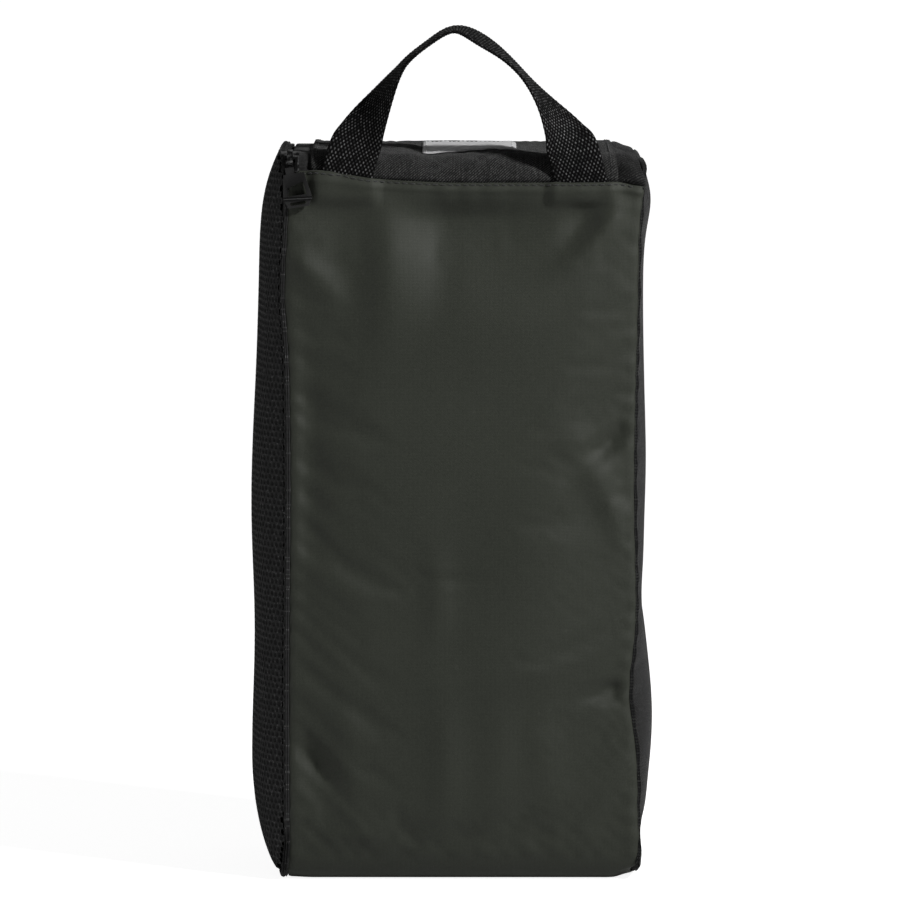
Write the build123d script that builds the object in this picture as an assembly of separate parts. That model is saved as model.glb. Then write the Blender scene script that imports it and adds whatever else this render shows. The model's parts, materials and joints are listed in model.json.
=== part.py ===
from build123d import *
import os
from math import cos, degrees, pi, radians, sin

# Golf shoe bag: a woven bag that stands on its base, with a wrap of front, base, back and top
# panels, a woven gusset on the right, a mesh door on the left and a webbing handle.
# Millimetres. +X is the right as the front is seen, -Y is the front, +Z is up, and the
# origin is the centre of the base's resting face.

# Driving dimensions: the body
PANEL_WIDTH = 172
DEPTH = 124
RIDGE_Z = 358
TOP_RADIUS = 15
BASE_RADIUS = 12
CLOTH = 1.2
MESH = 2.4
LAYER_GAP = 0.2

# Driving dimensions: seams and edges
FRONT_SEAM_Z = 345.5
BACK_SEAM_Z = 343
SEAM_SLIT = 0.5
BINDING_WIDTH = 6
BINDING_THICKNESS = 0.8
SEAM_TAPE_GAP = 1
HINGE_TAPE_ABOVE_BASE = 4
HINGE_TAPE_BELOW_SEAM = 10
ZIP_PANEL_INSET = 11
TOP_PANEL_LEFT = -74
TOP_PANEL_RIGHT = 73.5

# Driving dimensions: the zip, with its chain parallel to the left edge
CHAIN_X = -84
CHAIN_SLIT = 1.2
TAPE_THICKNESS = 0.7
BODY_TAPE_WIDTH = 11.5
DOOR_TAPE_WIDTH = 4
COIL_WIDTH = 2.8
COIL_THICKNESS = 2
PARKED_ANGLE = 35
TAPE_START_ANGLE = 8
TOP_STOP_START = 9
TOP_STOP_END = 16
COIL_START_ANGLE = 18
BOTTOM_STOP_GAP = 1
BOTTOM_STOP_LENGTH = 3
BEHIND_SLIDER_ANGLE = 2

# Driving dimensions: the slider, its bail and its pull
SLIDER_LENGTH = 10.5
SLIDER_WIDTH = 8.8
SLIDER_PLATE = 1.2
SLIDER_LIFT = 0.7
SLIDER_CLEARANCE = 0.5
NECK_GAP = 0.2
NECK_ANGLE = 12
BAIL_HALF_ANGLE = 10
BAIL_POST_ANGLE = 4
BAIL_WIDTH = 2.8
BAIL_THICKNESS = 1.1
BAIL_LIFT = 5
LINK_LEAN = 26
LINK_LENGTH = 6.5
LINK_WIDTH = 6.4
WIRE = 1.2
PIVOT_GAP = 0.9
EYE_CLEARANCE = 0.35
PULL_LENGTH = 18
PULL_TOP_WIDTH = 10
PULL_WIDTH = 14
PULL_SHIFT = 1.6
PULL_THICKNESS = 2.4
PULL_LEAN = 9
PULL_NECK_WIDTH = 4.2
PULL_NECK_RISE = 1.5
PULL_SHOULDER = 1.6
PULL_CHAMFER = 2
PULL_CHAMFER_HEIGHT = 4.4
PULL_RIM = 2
WINDOW_LEFT_SHARE = 0.46
WINDOW_RIGHT_SHARE = 0.33
SILL_SHARE = 0.68
CROSSBAR_SHARE = 0.76
CROSSBAR_RADIUS = 0.6
CROSSBAR_TILT = -6
SLOT_SHARE = 0.895
SLOT_WIDTH = 8
SLOT_HEIGHT = 1.6
SLOT_ROUND = 0.7

# Driving dimensions: the handle
WEBBING_WIDTH = 25
WEBBING_THICKNESS = 1.8
HANDLE_FOOT_X = 57.5
HANDLE_BEND_X = 54
HANDLE_BEND_Z = 354
HANDLE_RISE = 61
HANDLE_LEAN = 12
HANDLE_TWIST = 90
HANDLE_EXTRA_TWIST = 10
EXTRA_TWIST_FROM = 0.45
EXTRA_TWIST_TO = 0.6
TWIST_FROM = -0.05
TWIST_TO = 0.33
HANDLE_END_SLOPE = 0.33
HANDLE_APEX_X = -3
SHOULDER_SHARE_X = 0.68
SHOULDER_SHARE_Z = 0.48
BEND_GAP = 1

# Driving dimensions: the sides
SEWN_EDGE_SWELL = 0.4
SIDE_END_GAP = 0.3
SIDE_EDGE_GAP = 0.5
MESH_BULGE = 11.6
GUSSET_BULGE = 4.4
MESH_BEYOND_TAPE = 1.6

# Driving dimensions: stitches, label and patch
STITCH_PITCH = 3.7
STITCH_LENGTH = 2.6
STITCH_THICKNESS = 0.5
STITCH_PROUD = 0.5
STITCH_GAP = 0.1
STITCH_MARGIN = 6
STITCH_BELOW_SEAM = 1.6
LABEL_WIDTH = 30
LABEL_HEIGHT = 45
LABEL_THICKNESS = 0.4
LABEL_LOW_Z = 150
PATCH_WIDTH = 46
PATCH_DEPTH = 60
PATCH_THICKNESS = 0.7
PATCH_X = 3
PATCH_Y = -8

# Places worked out from the driving dimensions
LEFT = -PANEL_WIDTH / 2
RIGHT = PANEL_WIDTH / 2
FRONT = -DEPTH / 2
BACK = DEPTH / 2
CORNER_Y = FRONT + TOP_RADIUS
CORNER_Z = RIDGE_Z - TOP_RADIUS
FAR = 2 * RIDGE_Z
INNER = CLOTH + LAYER_GAP
BODY_ZIP_X = CHAIN_X + CHAIN_SLIT / 2
DOOR_ZIP_X = CHAIN_X - CHAIN_SLIT / 2
TAPE_INNER_X = BODY_ZIP_X + BODY_TAPE_WIDTH
ZIP_PANEL_X = LEFT + ZIP_PANEL_INSET
DOOR_EDGE_X = DOOR_ZIP_X - DOOR_TAPE_WIDTH
MESH_EDGE_X = DOOR_EDGE_X - MESH_BEYOND_TAPE
COIL_INSET = INNER + TAPE_THICKNESS + LAYER_GAP
BASE_FRONT_Y = FRONT + BASE_RADIUS


def outline(inset):
    """The bag's side outline in the YZ plane, moved inwards by inset."""
    low = inset
    high = RIDGE_Z - inset
    face = Pos(0, (low + high) / 2) * Rectangle(DEPTH - 2 * inset, high - low)
    face = fillet(face.vertices().sort_by(Axis.Y)[:2], BASE_RADIUS - inset)
    return fillet(face.vertices().sort_by(Axis.Y)[-2:], TOP_RADIUS - inset)


def ring(inset, thickness, x_low, x_high):
    """A band of cloth that follows the side outline all the way round."""
    loop = outline(inset) - outline(inset + thickness)
    return extrude(Plane.YZ.offset(x_low) * loop, x_high - x_low)


def block(x, y, z):
    """A box between two limits on each axis."""
    middle = ((x[0] + x[1]) / 2, (y[0] + y[1]) / 2, (z[0] + z[1]) / 2)
    return Pos(*middle) * Box(x[1] - x[0], y[1] - y[0], z[1] - z[0])


def region(y=(-FAR, FAR), z=(-FAR, FAR)):
    """Everything between two depths and two heights."""
    return block((-FAR, FAR), y, z)


def wedge(start, end, reach=2 * DEPTH):
    """The space between two angles about the front top corner's centre, from -Y towards +Z."""
    steps = 6
    angles = [start + (end - start) * step / steps for step in range(steps + 1)]
    rim = [(CORNER_Y - reach * cos(radians(a)), CORNER_Z + reach * sin(radians(a))) for a in angles]
    face = Plane.YZ * make_face(Polyline((CORNER_Y, CORNER_Z), *rim, close=True))
    return extrude(face, FAR, both=True)


def front_base_panel():
    """One piece of coated cloth: the whole front, turned under to make the base."""
    front = ring(0, CLOTH, LEFT, RIGHT) & region(y=(-FAR, BASE_FRONT_Y), z=(-FAR, FRONT_SEAM_Z))
    base = ring(0, CLOTH, ZIP_PANEL_X, RIGHT) & region(z=(-FAR, BASE_RADIUS))
    return front + base


def back_panel():
    """The woven back, between the base and the top."""
    spread = region(y=(0, FAR), z=(BASE_RADIUS + SEAM_SLIT, BACK_SEAM_Z))
    return ring(0, CLOTH, ZIP_PANEL_X, RIGHT) & spread


def over_the_top(inset, thickness, x_low, x_high):
    """A band from the front seam over the top to the back seam."""
    band = ring(inset, thickness, x_low, x_high)
    front = band & region(y=(-FAR, 0), z=(FRONT_SEAM_Z + SEAM_SLIT, FAR))
    back = band & region(y=(0, FAR), z=(BACK_SEAM_Z + SEAM_SLIT, FAR))
    return front + back


def side_dome(edge_x, bulge, thickness, side):
    """A stretched side: a thin dome that swells by bulge beyond its sewn edge."""
    half_depth = BACK - SIDE_EDGE_GAP
    half_height = RIDGE_Z / 2
    sections = []
    steps = 14
    for step in range(steps + 1):
        share = sin(pi / 2 * (2 * step / steps - 1))
        height = half_height + share * (half_height - SIDE_END_GAP)
        swell = SEWN_EDGE_SWELL + bulge * (1 - share ** 4)
        near = edge_x
        far = edge_x + side * thickness
        inner = ThreePointArc((near, -half_depth), (near + side * swell, 0), (near, half_depth))
        outer = ThreePointArc((far, -half_depth), (far + side * swell, 0), (far, half_depth))
        ends = [Line(inner @ 0, outer @ 0), Line(inner @ 1, outer @ 1)]
        sections.append(Pos(0, 0, height) * make_face([inner, outer, *ends]))
    dome = loft(sections)
    trim = extrude(Plane.YZ.offset(-FAR) * outline(LAYER_GAP), 2 * FAR)
    return dome & trim


def zip_run(inset, thickness, x_low, x_high, start):
    """A band beside the chain: over the top from the angle start, down the back, along the base."""
    band = ring(inset, thickness, x_low, x_high)
    before_start = wedge(-90, start)
    front_half = region(y=(-FAR, BASE_FRONT_Y + BOTTOM_STOP_GAP), z=(-FAR, CORNER_Z))
    return band - before_start - front_half


def coil_track():
    """The space the body's coil fills, all the way round."""
    return ring(COIL_INSET, COIL_THICKNESS, BODY_ZIP_X, BODY_ZIP_X + COIL_WIDTH)


def zip_top_stop():
    """The crimped stop before the chain's start at the corner."""
    return coil_track() & wedge(TOP_STOP_START, TOP_STOP_END, 2 * TOP_RADIUS)


def zip_bottom_stop():
    """The stop at the chain's other end, at the front of the base."""
    low = BASE_FRONT_Y + BOTTOM_STOP_GAP
    return coil_track() & region(y=(low, low + BOTTOM_STOP_LENGTH), z=(-FAR, BASE_RADIUS))


def seam_strip(height):
    """The tape over a cross seam, inside the bag."""
    x_low = TAPE_INNER_X + SEAM_TAPE_GAP
    x_high = RIGHT - BINDING_WIDTH - SEAM_TAPE_GAP
    half = BINDING_WIDTH
    return ring(INNER, BINDING_THICKNESS, x_low, x_high) & region(z=(height - half, height + half))


def hinge_binding():
    """The tape inside the front left seam, which the door hangs from."""
    low = BASE_RADIUS + HINGE_TAPE_ABOVE_BASE
    high = FRONT_SEAM_Z - HINGE_TAPE_BELOW_SEAM
    band = ring(INNER, BINDING_THICKNESS, LEFT + LAYER_GAP, LEFT + BINDING_WIDTH)
    return band & region(y=(-FAR, 0), z=(low, high))


def care_label():
    """A blank label that hangs from the right seam, against the back."""
    x_high = RIGHT - BINDING_WIDTH - SEAM_SLIT
    y_high = BACK - INNER
    z = (LABEL_LOW_Z, LABEL_LOW_Z + LABEL_HEIGHT)
    return block((x_high - LABEL_WIDTH, x_high), (y_high - LABEL_THICKNESS, y_high), z)


def blank_patch():
    """A plain woven patch on the top, a little to the right of the middle and towards the front."""
    middle_z = RIDGE_Z + LAYER_GAP / 2 + PATCH_THICKNESS / 2
    return Pos(PATCH_X, PATCH_Y, middle_z) * Box(PATCH_WIDTH, PATCH_DEPTH, PATCH_THICKNESS)


def front_topstitch():
    """The row of stitches that holds the front panel's folded top edge."""
    stitch = Box(STITCH_LENGTH, STITCH_PROUD - STITCH_GAP, STITCH_THICKNESS)
    count = int((PANEL_WIDTH - 2 * STITCH_MARGIN) / STITCH_PITCH)
    first = -(count - 1) * STITCH_PITCH / 2
    y = FRONT - (STITCH_PROUD + STITCH_GAP) / 2
    z = FRONT_SEAM_Z - STITCH_BELOW_SEAM
    row = [Pos(first + i * STITCH_PITCH, y, z) * stitch for i in range(count)]
    return Compound(children=row)


def foot_outline(side):
    """A handle end as seen from the front: it leans towards the handle's middle."""
    half = WEBBING_WIDTH / 2
    low = FRONT_SEAM_Z + SEAM_SLIT + LAYER_GAP
    high = HANDLE_BEND_Z - BEND_GAP - 2 * LAYER_GAP
    top_x = HANDLE_BEND_X
    foot_x = HANDLE_FOOT_X
    corners = [(foot_x - half, low), (foot_x + half, low), (top_x + half, high), (top_x - half, high)]
    return make_face(Polyline(*[(side * x, z) for x, z in corners], close=True))


def handle_feet():
    """The handle's two ends, flat on the front of the top panel and sewn into the front seam."""
    front_face = Plane(origin=(0, FRONT - LAYER_GAP, 0), x_dir=(1, 0, 0), z_dir=(0, -1, 0))
    feet = [extrude(front_face * foot_outline(side), WEBBING_THICKNESS) for side in (-1, 1)]
    return Compound(children=feet)


def ease(value, start, end):
    """A smooth step from 0 at start to 1 at end."""
    share = min(max((value - start) / (end - start), 0), 1)
    return share * share * (3 - 2 * share)


def handle_twist(share):
    """How far the strap has turned, in degrees: none at its ends, on edge or past it in the middle."""
    extra = HANDLE_EXTRA_TWIST * ease(share, EXTRA_TWIST_FROM, EXTRA_TWIST_TO)
    return (HANDLE_TWIST + extra) * ease(min(share, 1 - share), TWIST_FROM, TWIST_TO)


def handle_webbing():
    """The carrying loop: flat legs that turn on edge to make the arch of the grip."""
    bend_y = FRONT - LAYER_GAP - WEBBING_THICKNESS / 2
    lean = radians(HANDLE_LEAN)
    up = Vector(0, sin(lean), cos(lean))
    forwards = Vector(0, -cos(lean), sin(lean))
    start = Vector(0, bend_y, HANDLE_BEND_Z) + up * BEND_GAP
    shoulder_x = HANDLE_BEND_X * SHOULDER_SHARE_X
    shoulder_z = HANDLE_RISE * SHOULDER_SHARE_Z
    path = Spline(
        (-HANDLE_BEND_X, 0), (-shoulder_x, shoulder_z), (HANDLE_APEX_X, HANDLE_RISE),
        (shoulder_x, shoulder_z), (HANDLE_BEND_X, 0),
        tangents=[(HANDLE_END_SLOPE, 1), (HANDLE_END_SLOPE, -1)],
    )
    steps = 24
    sections = []
    for step in range(steps + 1):
        share = step / steps
        place = path @ share
        along = path % share
        tangent = Vector(1, 0, 0) * along.X + up * along.Y
        outwards = up * along.X - Vector(1, 0, 0) * along.Y
        turn = radians(handle_twist(share))
        across = outwards * cos(turn) - forwards * sin(turn)
        if step in (0, steps):
            across = Vector(-1 if step == 0 else 1, 0, 0)
            tangent = up if step == 0 else -up
        origin = start + Vector(1, 0, 0) * place.X + up * place.Y
        section = Plane(origin=origin, x_dir=across, z_dir=tangent)
        sections.append(section * Rectangle(WEBBING_WIDTH, WEBBING_THICKNESS))
    return loft(sections)


def arc_band(inset, thickness, width, start, end, x_middle):
    """A curved plate about the front top corner, between two angles."""
    x_low = x_middle - width / 2
    outer = Circle(TOP_RADIUS - inset)
    inner = Circle(TOP_RADIUS - inset - thickness)
    disc = Plane.YZ.offset(x_low) * (Pos(CORNER_Y, CORNER_Z) * (outer - inner))
    return extrude(disc, width) & wedge(start, end, 2 * TOP_RADIUS)


def slider_body():
    """Two curved plates joined by a neck that runs in the slit of the chain."""
    half = degrees(SLIDER_LENGTH / 2 / TOP_RADIUS)
    start = PARKED_ANGLE - half
    end = PARKED_ANGLE + half
    under_inset = COIL_INSET + COIL_THICKNESS + SLIDER_CLEARANCE
    neck_top = -SLIDER_LIFT - NECK_GAP
    neck_height = under_inset - neck_top + NECK_GAP
    top = arc_band(-SLIDER_LIFT - SLIDER_PLATE, SLIDER_PLATE, SLIDER_WIDTH, start, end, CHAIN_X)
    under = arc_band(under_inset, SLIDER_PLATE, SLIDER_WIDTH, start, end, CHAIN_X)
    neck_width = CHAIN_SLIT - 2 * NECK_GAP
    neck = arc_band(neck_top, neck_height, neck_width, start, start + NECK_ANGLE, CHAIN_X)
    return top + under + neck


def slider_bail():
    """The arch on the slider that holds the pull."""
    start = PARKED_ANGLE - BAIL_HALF_ANGLE
    end = PARKED_ANGLE + BAIL_HALF_ANGLE
    foot_inset = -SLIDER_LIFT - SLIDER_PLATE - LAYER_GAP
    post_inset = -BAIL_LIFT - 2 * LAYER_GAP
    post_height = foot_inset - post_inset
    arch_inset = -BAIL_LIFT - BAIL_THICKNESS
    arch = arc_band(arch_inset, BAIL_THICKNESS, BAIL_WIDTH, start, end, CHAIN_X)
    first = arc_band(post_inset, post_height, BAIL_WIDTH, start, start + BAIL_POST_ANGLE, CHAIN_X)
    last = arc_band(post_inset, post_height, BAIL_WIDTH, end - BAIL_POST_ANGLE, end, CHAIN_X)
    return arch + first + last


# The pull hangs from the bail by a wire link that leans off the slider
PIVOT_RADIUS = TOP_RADIUS + BAIL_LIFT - WIRE / 2 - PIVOT_GAP
PIVOT_Y = CORNER_Y - PIVOT_RADIUS * cos(radians(PARKED_ANGLE))
PIVOT_Z = CORNER_Z + PIVOT_RADIUS * sin(radians(PARKED_ANGLE))
EYE_Y = PIVOT_Y - LINK_LENGTH * sin(radians(LINK_LEAN))
EYE_Z = PIVOT_Z - LINK_LENGTH * cos(radians(LINK_LEAN))


def pull_link():
    """A closed wire loop through the bail and the pull's eye."""
    lean = radians(LINK_LEAN)
    down = Vector(0, -sin(lean), -cos(lean))
    plane = Plane(
        origin=Vector(CHAIN_X, PIVOT_Y, PIVOT_Z) + down * (LINK_LENGTH / 2),
        x_dir=(1, 0, 0), z_dir=down.cross(Vector(1, 0, 0)),
    )
    outer = Rectangle(LINK_WIDTH + WIRE, LINK_LENGTH + WIRE)
    inner = Rectangle(LINK_WIDTH - WIRE, LINK_LENGTH - WIRE)
    return extrude(plane * (outer - inner), WIRE / 2, both=True)


def pull_plane():
    """The plane of the pull tab, with its middle line through the eye, leaning to the right."""
    lean = radians(PULL_LEAN)
    return Plane(origin=(CHAIN_X, EYE_Y, EYE_Z), x_dir=(cos(lean), 0, sin(lean)), z_dir=(0, -1, 0))


def pull_half_width(share):
    """Half the tab's width at a share of its length down from the eye, above its cut corners."""
    widest = PULL_LENGTH - PULL_CHAMFER_HEIGHT
    along = (share * PULL_LENGTH - PULL_SHOULDER) / (widest - PULL_SHOULDER)
    return (PULL_TOP_WIDTH + (PULL_WIDTH - PULL_TOP_WIDTH) * along) / 2


def pull_window():
    """The tab's upper opening, with a slanted top edge."""
    corners = []
    for side, share in ((-1, SILL_SHARE), (1, SILL_SHARE), (1, WINDOW_RIGHT_SHARE), (-1, WINDOW_LEFT_SHARE)):
        corners.append((PULL_SHIFT + side * (pull_half_width(share) - PULL_RIM), -share * PULL_LENGTH))
    return make_face(Polyline(*corners, close=True))


def pull_tab():
    """A moulded tab that widens downwards, with a window, a slot and an eye for the link."""
    low = -PULL_LENGTH
    half = PULL_WIDTH / 2
    top_half = PULL_TOP_WIDTH / 2
    chamfer_z = low + PULL_CHAMFER_HEIGHT
    body = Pos(PULL_SHIFT, 0) * make_face(Polyline(
        (-top_half, -PULL_SHOULDER), (top_half, -PULL_SHOULDER), (half, chamfer_z),
        (half - PULL_CHAMFER, low), (PULL_CHAMFER - half, low), (-half, chamfer_z), close=True,
    ))
    neck_height = PULL_NECK_RISE + PULL_SHOULDER + PULL_RIM / 2
    neck = Pos(0, PULL_NECK_RISE - neck_height / 2) * Rectangle(PULL_NECK_WIDTH, neck_height)
    slot = RectangleRounded(SLOT_WIDTH, SLOT_HEIGHT, SLOT_ROUND)
    slot = Pos(PULL_SHIFT, -SLOT_SHARE * PULL_LENGTH) * slot
    plate = extrude(pull_plane() * (body + neck - pull_window() - slot), PULL_THICKNESS / 2, both=True)
    eye = Pos(CHAIN_X, EYE_Y, EYE_Z) * Rot(0, 90, 0) * Cylinder(WIRE / 2 + EYE_CLEARANCE, FAR)
    return plate - eye


def pull_crossbar():
    """A bright wire across the front of the tab, with one end at the tab's widest corner."""
    proud = PULL_THICKNESS / 2 + CROSSBAR_RADIUS + LAYER_GAP / 2
    place = Pos(PULL_SHIFT + LAYER_GAP, -CROSSBAR_SHARE * PULL_LENGTH, proud)
    bar = place * Rot(0, 0, CROSSBAR_TILT) * Rot(0, 90, 0) * Cylinder(CROSSBAR_RADIUS, PULL_WIDTH)
    return pull_plane().location * bar


def build():
    """Every piece of the bag, by name."""
    tape = (INNER, TAPE_THICKNESS)
    coil = (COIL_INSET, COIL_THICKNESS)
    half_slider = degrees(SLIDER_LENGTH / 2 / TOP_RADIUS)
    behind_slider = PARKED_ANGLE + half_slider + BEHIND_SLIDER_ANGLE
    coil_end_y = BASE_FRONT_Y + BOTTOM_STOP_GAP + BOTTOM_STOP_LENGTH + SEAM_SLIT
    binding_x = RIGHT - BINDING_WIDTH
    return {
        "front_base_panel": front_base_panel(),
        "back_panel": back_panel(),
        "top_panel": over_the_top(0, CLOTH, TOP_PANEL_LEFT, TOP_PANEL_RIGHT),
        "top_side_strip": over_the_top(0, CLOTH, TOP_PANEL_RIGHT + SEAM_SLIT, RIGHT),
        "right_gusset": side_dome(RIGHT + LAYER_GAP, GUSSET_BULGE, CLOTH, 1),
        "right_seam_binding": ring(INNER, BINDING_THICKNESS, binding_x, RIGHT - LAYER_GAP),
        "front_seam_binding": seam_strip(FRONT_SEAM_Z) & region(y=(-FAR, 0)),
        "back_upper_binding": seam_strip(BACK_SEAM_Z) & region(y=(0, FAR)),
        "back_lower_binding": seam_strip(BASE_RADIUS) & region(y=(0, FAR)),
        "hinge_binding": hinge_binding(),
        "care_label": care_label(),
        "blank_patch": blank_patch(),
        "front_topstitch": front_topstitch(),
        "handle_feet": handle_feet(),
        "handle_webbing": handle_webbing(),
        "zip_tape_body": zip_run(*tape, BODY_ZIP_X, TAPE_INNER_X, TAPE_START_ANGLE),
        "zip_coil_body": zip_run(*coil, BODY_ZIP_X, BODY_ZIP_X + COIL_WIDTH, COIL_START_ANGLE)
        - region(y=(-FAR, coil_end_y), z=(-FAR, BASE_RADIUS)),
        "zip_top_stop": zip_top_stop(),
        "zip_bottom_stop": zip_bottom_stop(),
        "zip_tape_door": zip_run(*tape, DOOR_EDGE_X, DOOR_ZIP_X, behind_slider),
        "zip_coil_door": zip_run(*coil, DOOR_ZIP_X - COIL_WIDTH, DOOR_ZIP_X, behind_slider),
        "door_binding": ring(LAYER_GAP, CLOTH + BINDING_THICKNESS, MESH_EDGE_X + LAYER_GAP,
                             DOOR_EDGE_X - LAYER_GAP),
        "mesh_panel": side_dome(MESH_EDGE_X, MESH_BULGE, MESH, -1),
        "slider_body": slider_body(),
        "slider_bail": slider_bail(),
        "pull_link": pull_link(),
        "pull_tab": pull_tab(),
        "pull_crossbar": pull_crossbar(),
    }


os.makedirs("parts", exist_ok=True)
for name, piece in build().items():
    export_step(piece, f"parts/{name}.step")
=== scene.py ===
"""The looks of the golf shoe bag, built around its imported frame. Metres, +Z up, -Y is the front."""
import json
import math

import bmesh
import bpy
import numpy as np
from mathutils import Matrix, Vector


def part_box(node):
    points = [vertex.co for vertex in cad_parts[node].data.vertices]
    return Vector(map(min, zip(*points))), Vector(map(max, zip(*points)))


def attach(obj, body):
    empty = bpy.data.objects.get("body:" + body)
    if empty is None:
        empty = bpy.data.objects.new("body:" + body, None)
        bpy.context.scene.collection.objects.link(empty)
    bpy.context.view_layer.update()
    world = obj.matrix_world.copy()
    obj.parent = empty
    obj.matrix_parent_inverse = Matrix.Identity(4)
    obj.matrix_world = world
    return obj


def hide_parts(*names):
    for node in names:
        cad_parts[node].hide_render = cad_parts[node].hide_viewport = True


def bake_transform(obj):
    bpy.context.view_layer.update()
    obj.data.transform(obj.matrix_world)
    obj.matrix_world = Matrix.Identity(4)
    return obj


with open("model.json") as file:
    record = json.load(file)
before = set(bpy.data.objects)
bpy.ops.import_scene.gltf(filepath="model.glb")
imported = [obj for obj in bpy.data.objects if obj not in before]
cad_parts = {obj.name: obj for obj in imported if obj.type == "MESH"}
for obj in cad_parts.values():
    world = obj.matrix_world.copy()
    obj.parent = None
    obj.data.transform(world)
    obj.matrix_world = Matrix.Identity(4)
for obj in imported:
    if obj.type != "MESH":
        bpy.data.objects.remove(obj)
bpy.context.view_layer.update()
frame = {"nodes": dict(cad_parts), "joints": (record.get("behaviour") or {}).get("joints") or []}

MM = 0.001
JOINTS = {joint["name"]: joint for joint in frame["joints"]}

# Places read from the frame
FRONT_LOW, FRONT_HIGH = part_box("front_base_panel")
LEFT, RIGHT = FRONT_LOW.x, FRONT_HIGH.x
FRONT, BACK = FRONT_LOW.y, FRONT_HIGH.y
TOP_LOW, TOP_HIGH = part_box("top_panel")
RIDGE_Z = TOP_HIGH.z
ZIP_PANEL_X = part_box("back_panel")[0].x
TAPE_LOW, TAPE_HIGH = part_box("zip_tape_body")
DOOR_TAPE_LOW, DOOR_TAPE_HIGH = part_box("zip_tape_door")
CORNER_Z = JOINTS["zip_travel"]["pos_m"][2]
TOP_R = RIDGE_Z - CORNER_Z
BASE_R = 12 * MM

# Sizes of cloth and trims
CLOTH = 1.1 * MM
TAPE = 0.6 * MM
WEAVE_UV = "weave"


# ---------------------------------------------------------------- shapes in formulas

def ease(value, start, end):
    """A smooth step from 0 at start to 1 at end."""
    share = np.clip((value - start) / (end - start), 0, 1)
    return share * share * (3 - 2 * share)


def bump(value, centre, width):
    """A smooth hill of height 1 at centre."""
    return np.exp(-(((value - centre) / width) ** 2))


def hills(z, rows, total=0):
    """Hills up the bag: size in millimetres, place as a share of its height, half height in mm."""
    for size, share, reach in rows:
        total = total + size * bump(z, share * RIDGE_Z, reach * MM)
    return total


def run_length(points):
    """The distance along a line of points, at each of them."""
    return np.concatenate([[0], np.cumsum(np.linalg.norm(np.diff(points, axis=0), axis=1))])


def outline_runs():
    """The side outline as runs: length, start point, direction and, for a corner, its centre."""
    half_turn = math.pi / 2
    base_y = (FRONT + BASE_R, BACK - BASE_R)
    top_y = (FRONT + TOP_R, BACK - TOP_R)
    return [
        ("line", CORNER_Z - BASE_R, (FRONT, CORNER_Z), (0, -1), (-1, 0)),
        ("arc", BASE_R * half_turn, (base_y[0], BASE_R), BASE_R, math.pi),
        ("line", base_y[1] - base_y[0], (base_y[0], 0), (1, 0), (0, -1)),
        ("arc", BASE_R * half_turn, (base_y[1], BASE_R), BASE_R, 1.5 * math.pi),
        ("line", CORNER_Z - BASE_R, (BACK, BASE_R), (0, 1), (1, 0)),
        ("arc", TOP_R * half_turn, (top_y[1], CORNER_Z), TOP_R, 0),
        ("line", top_y[1] - top_y[0], (top_y[1], RIDGE_Z), (-1, 0), (0, 1)),
        ("arc", TOP_R * half_turn, (top_y[0], CORNER_Z), TOP_R, half_turn),
    ]


RUNS = outline_runs()
RUN_STARTS = np.cumsum([0] + [run[1] for run in RUNS])
LOOP = RUN_STARTS[-1]
BASE_START = RUN_STARTS[1]
BASE_FLAT_START = RUN_STARTS[2]
BACK_START = RUN_STARTS[4]
BACK_CORNER = RUN_STARTS[5]
TOP_START = RUN_STARTS[6]


def outline(along):
    """The side outline's place (y, z) and outward direction (y, z), along from the front's top."""
    along = np.mod(np.asarray(along, float), LOOP)
    place = np.zeros(along.shape + (2,))
    facing = np.zeros(along.shape + (2,))
    for run, start in zip(RUNS, RUN_STARTS):
        here = (along >= start) & (along <= start + run[1])
        step = (along - start)[here]
        if run[0] == "line":
            place[here] = np.array(run[2]) + step[:, None] * np.array(run[3])
            facing[here] = run[4]
        else:
            turn = run[4] + step / run[3]
            facing[here] = np.stack([np.cos(turn), np.sin(turn)], axis=-1)
            place[here] = np.array(run[2]) + run[3] * facing[here]
    place[..., 1] -= droop(place[..., 0], place[..., 1])
    return place, facing


def sewn_outline(along, side):
    """The outline at a sewn side edge, where the top hangs and the base corners lift."""
    place, facing = outline(along)
    place[:, 1] += heel(place[:, 1], side) - shoulder(place[:, 1], side)
    return place, facing


def droop(y, z):
    """How far the empty bag's top has settled behind its front edge."""
    return -0.8 * MM * ease(y, FRONT + 0.2 * (BACK - FRONT), 0) * ease(z, CORNER_Z - TOP_R, RIDGE_Z)


# How the sewn side edges wander in x, as rows for hills()
LEFT_EDGE_HILLS = [(-1.9, 0.81, 24), (0.9, 0.55, 60), (-1.6, 0, 14)]
RIGHT_EDGE_HILLS = [(-2.1, 0.56, 70), (-4.2, 0.26, 24), (1.6, 0.95, 16), (0.8, 0.05, 10), (1.8, 0.975, 5)]


def edge_shift(y, z, side):
    """How far the sewn side edge strays from straight, in x, at a place on the outline."""
    on_front = 1 - ease(y, FRONT + 2 * MM, FRONT + 30 * MM)
    if side < 0:
        wave = hills(z, LEFT_EDGE_HILLS) + 2.2 * (1 - ease(z, 0, 5 * MM)) ** 2
    else:
        wave = hills(z, RIGHT_EDGE_HILLS) - 5.0 * (1 - ease(z, 0, 9 * MM)) ** 2
    behind = 0.9 * np.sin(z / (31 * MM) + side) * (1 - on_front) * ease(RIDGE_Z - z, 0, 30 * MM)
    return (wave * on_front + behind) * MM


def shoulder(z, side):
    """How far the top's sewn side edge hangs below its middle."""
    drop = 0.4 * MM if side < 0 else 4.0 * MM
    return drop * ease(z, CORNER_Z - 1.5 * TOP_R, RIDGE_Z)


def heel(z, side):
    """How far a base corner lifts off the ground at the sewn side edge."""
    rise = 0.5 * MM if side < 0 else 2.6 * MM
    return rise * (1 - ease(z, 0, 9 * MM))


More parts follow.
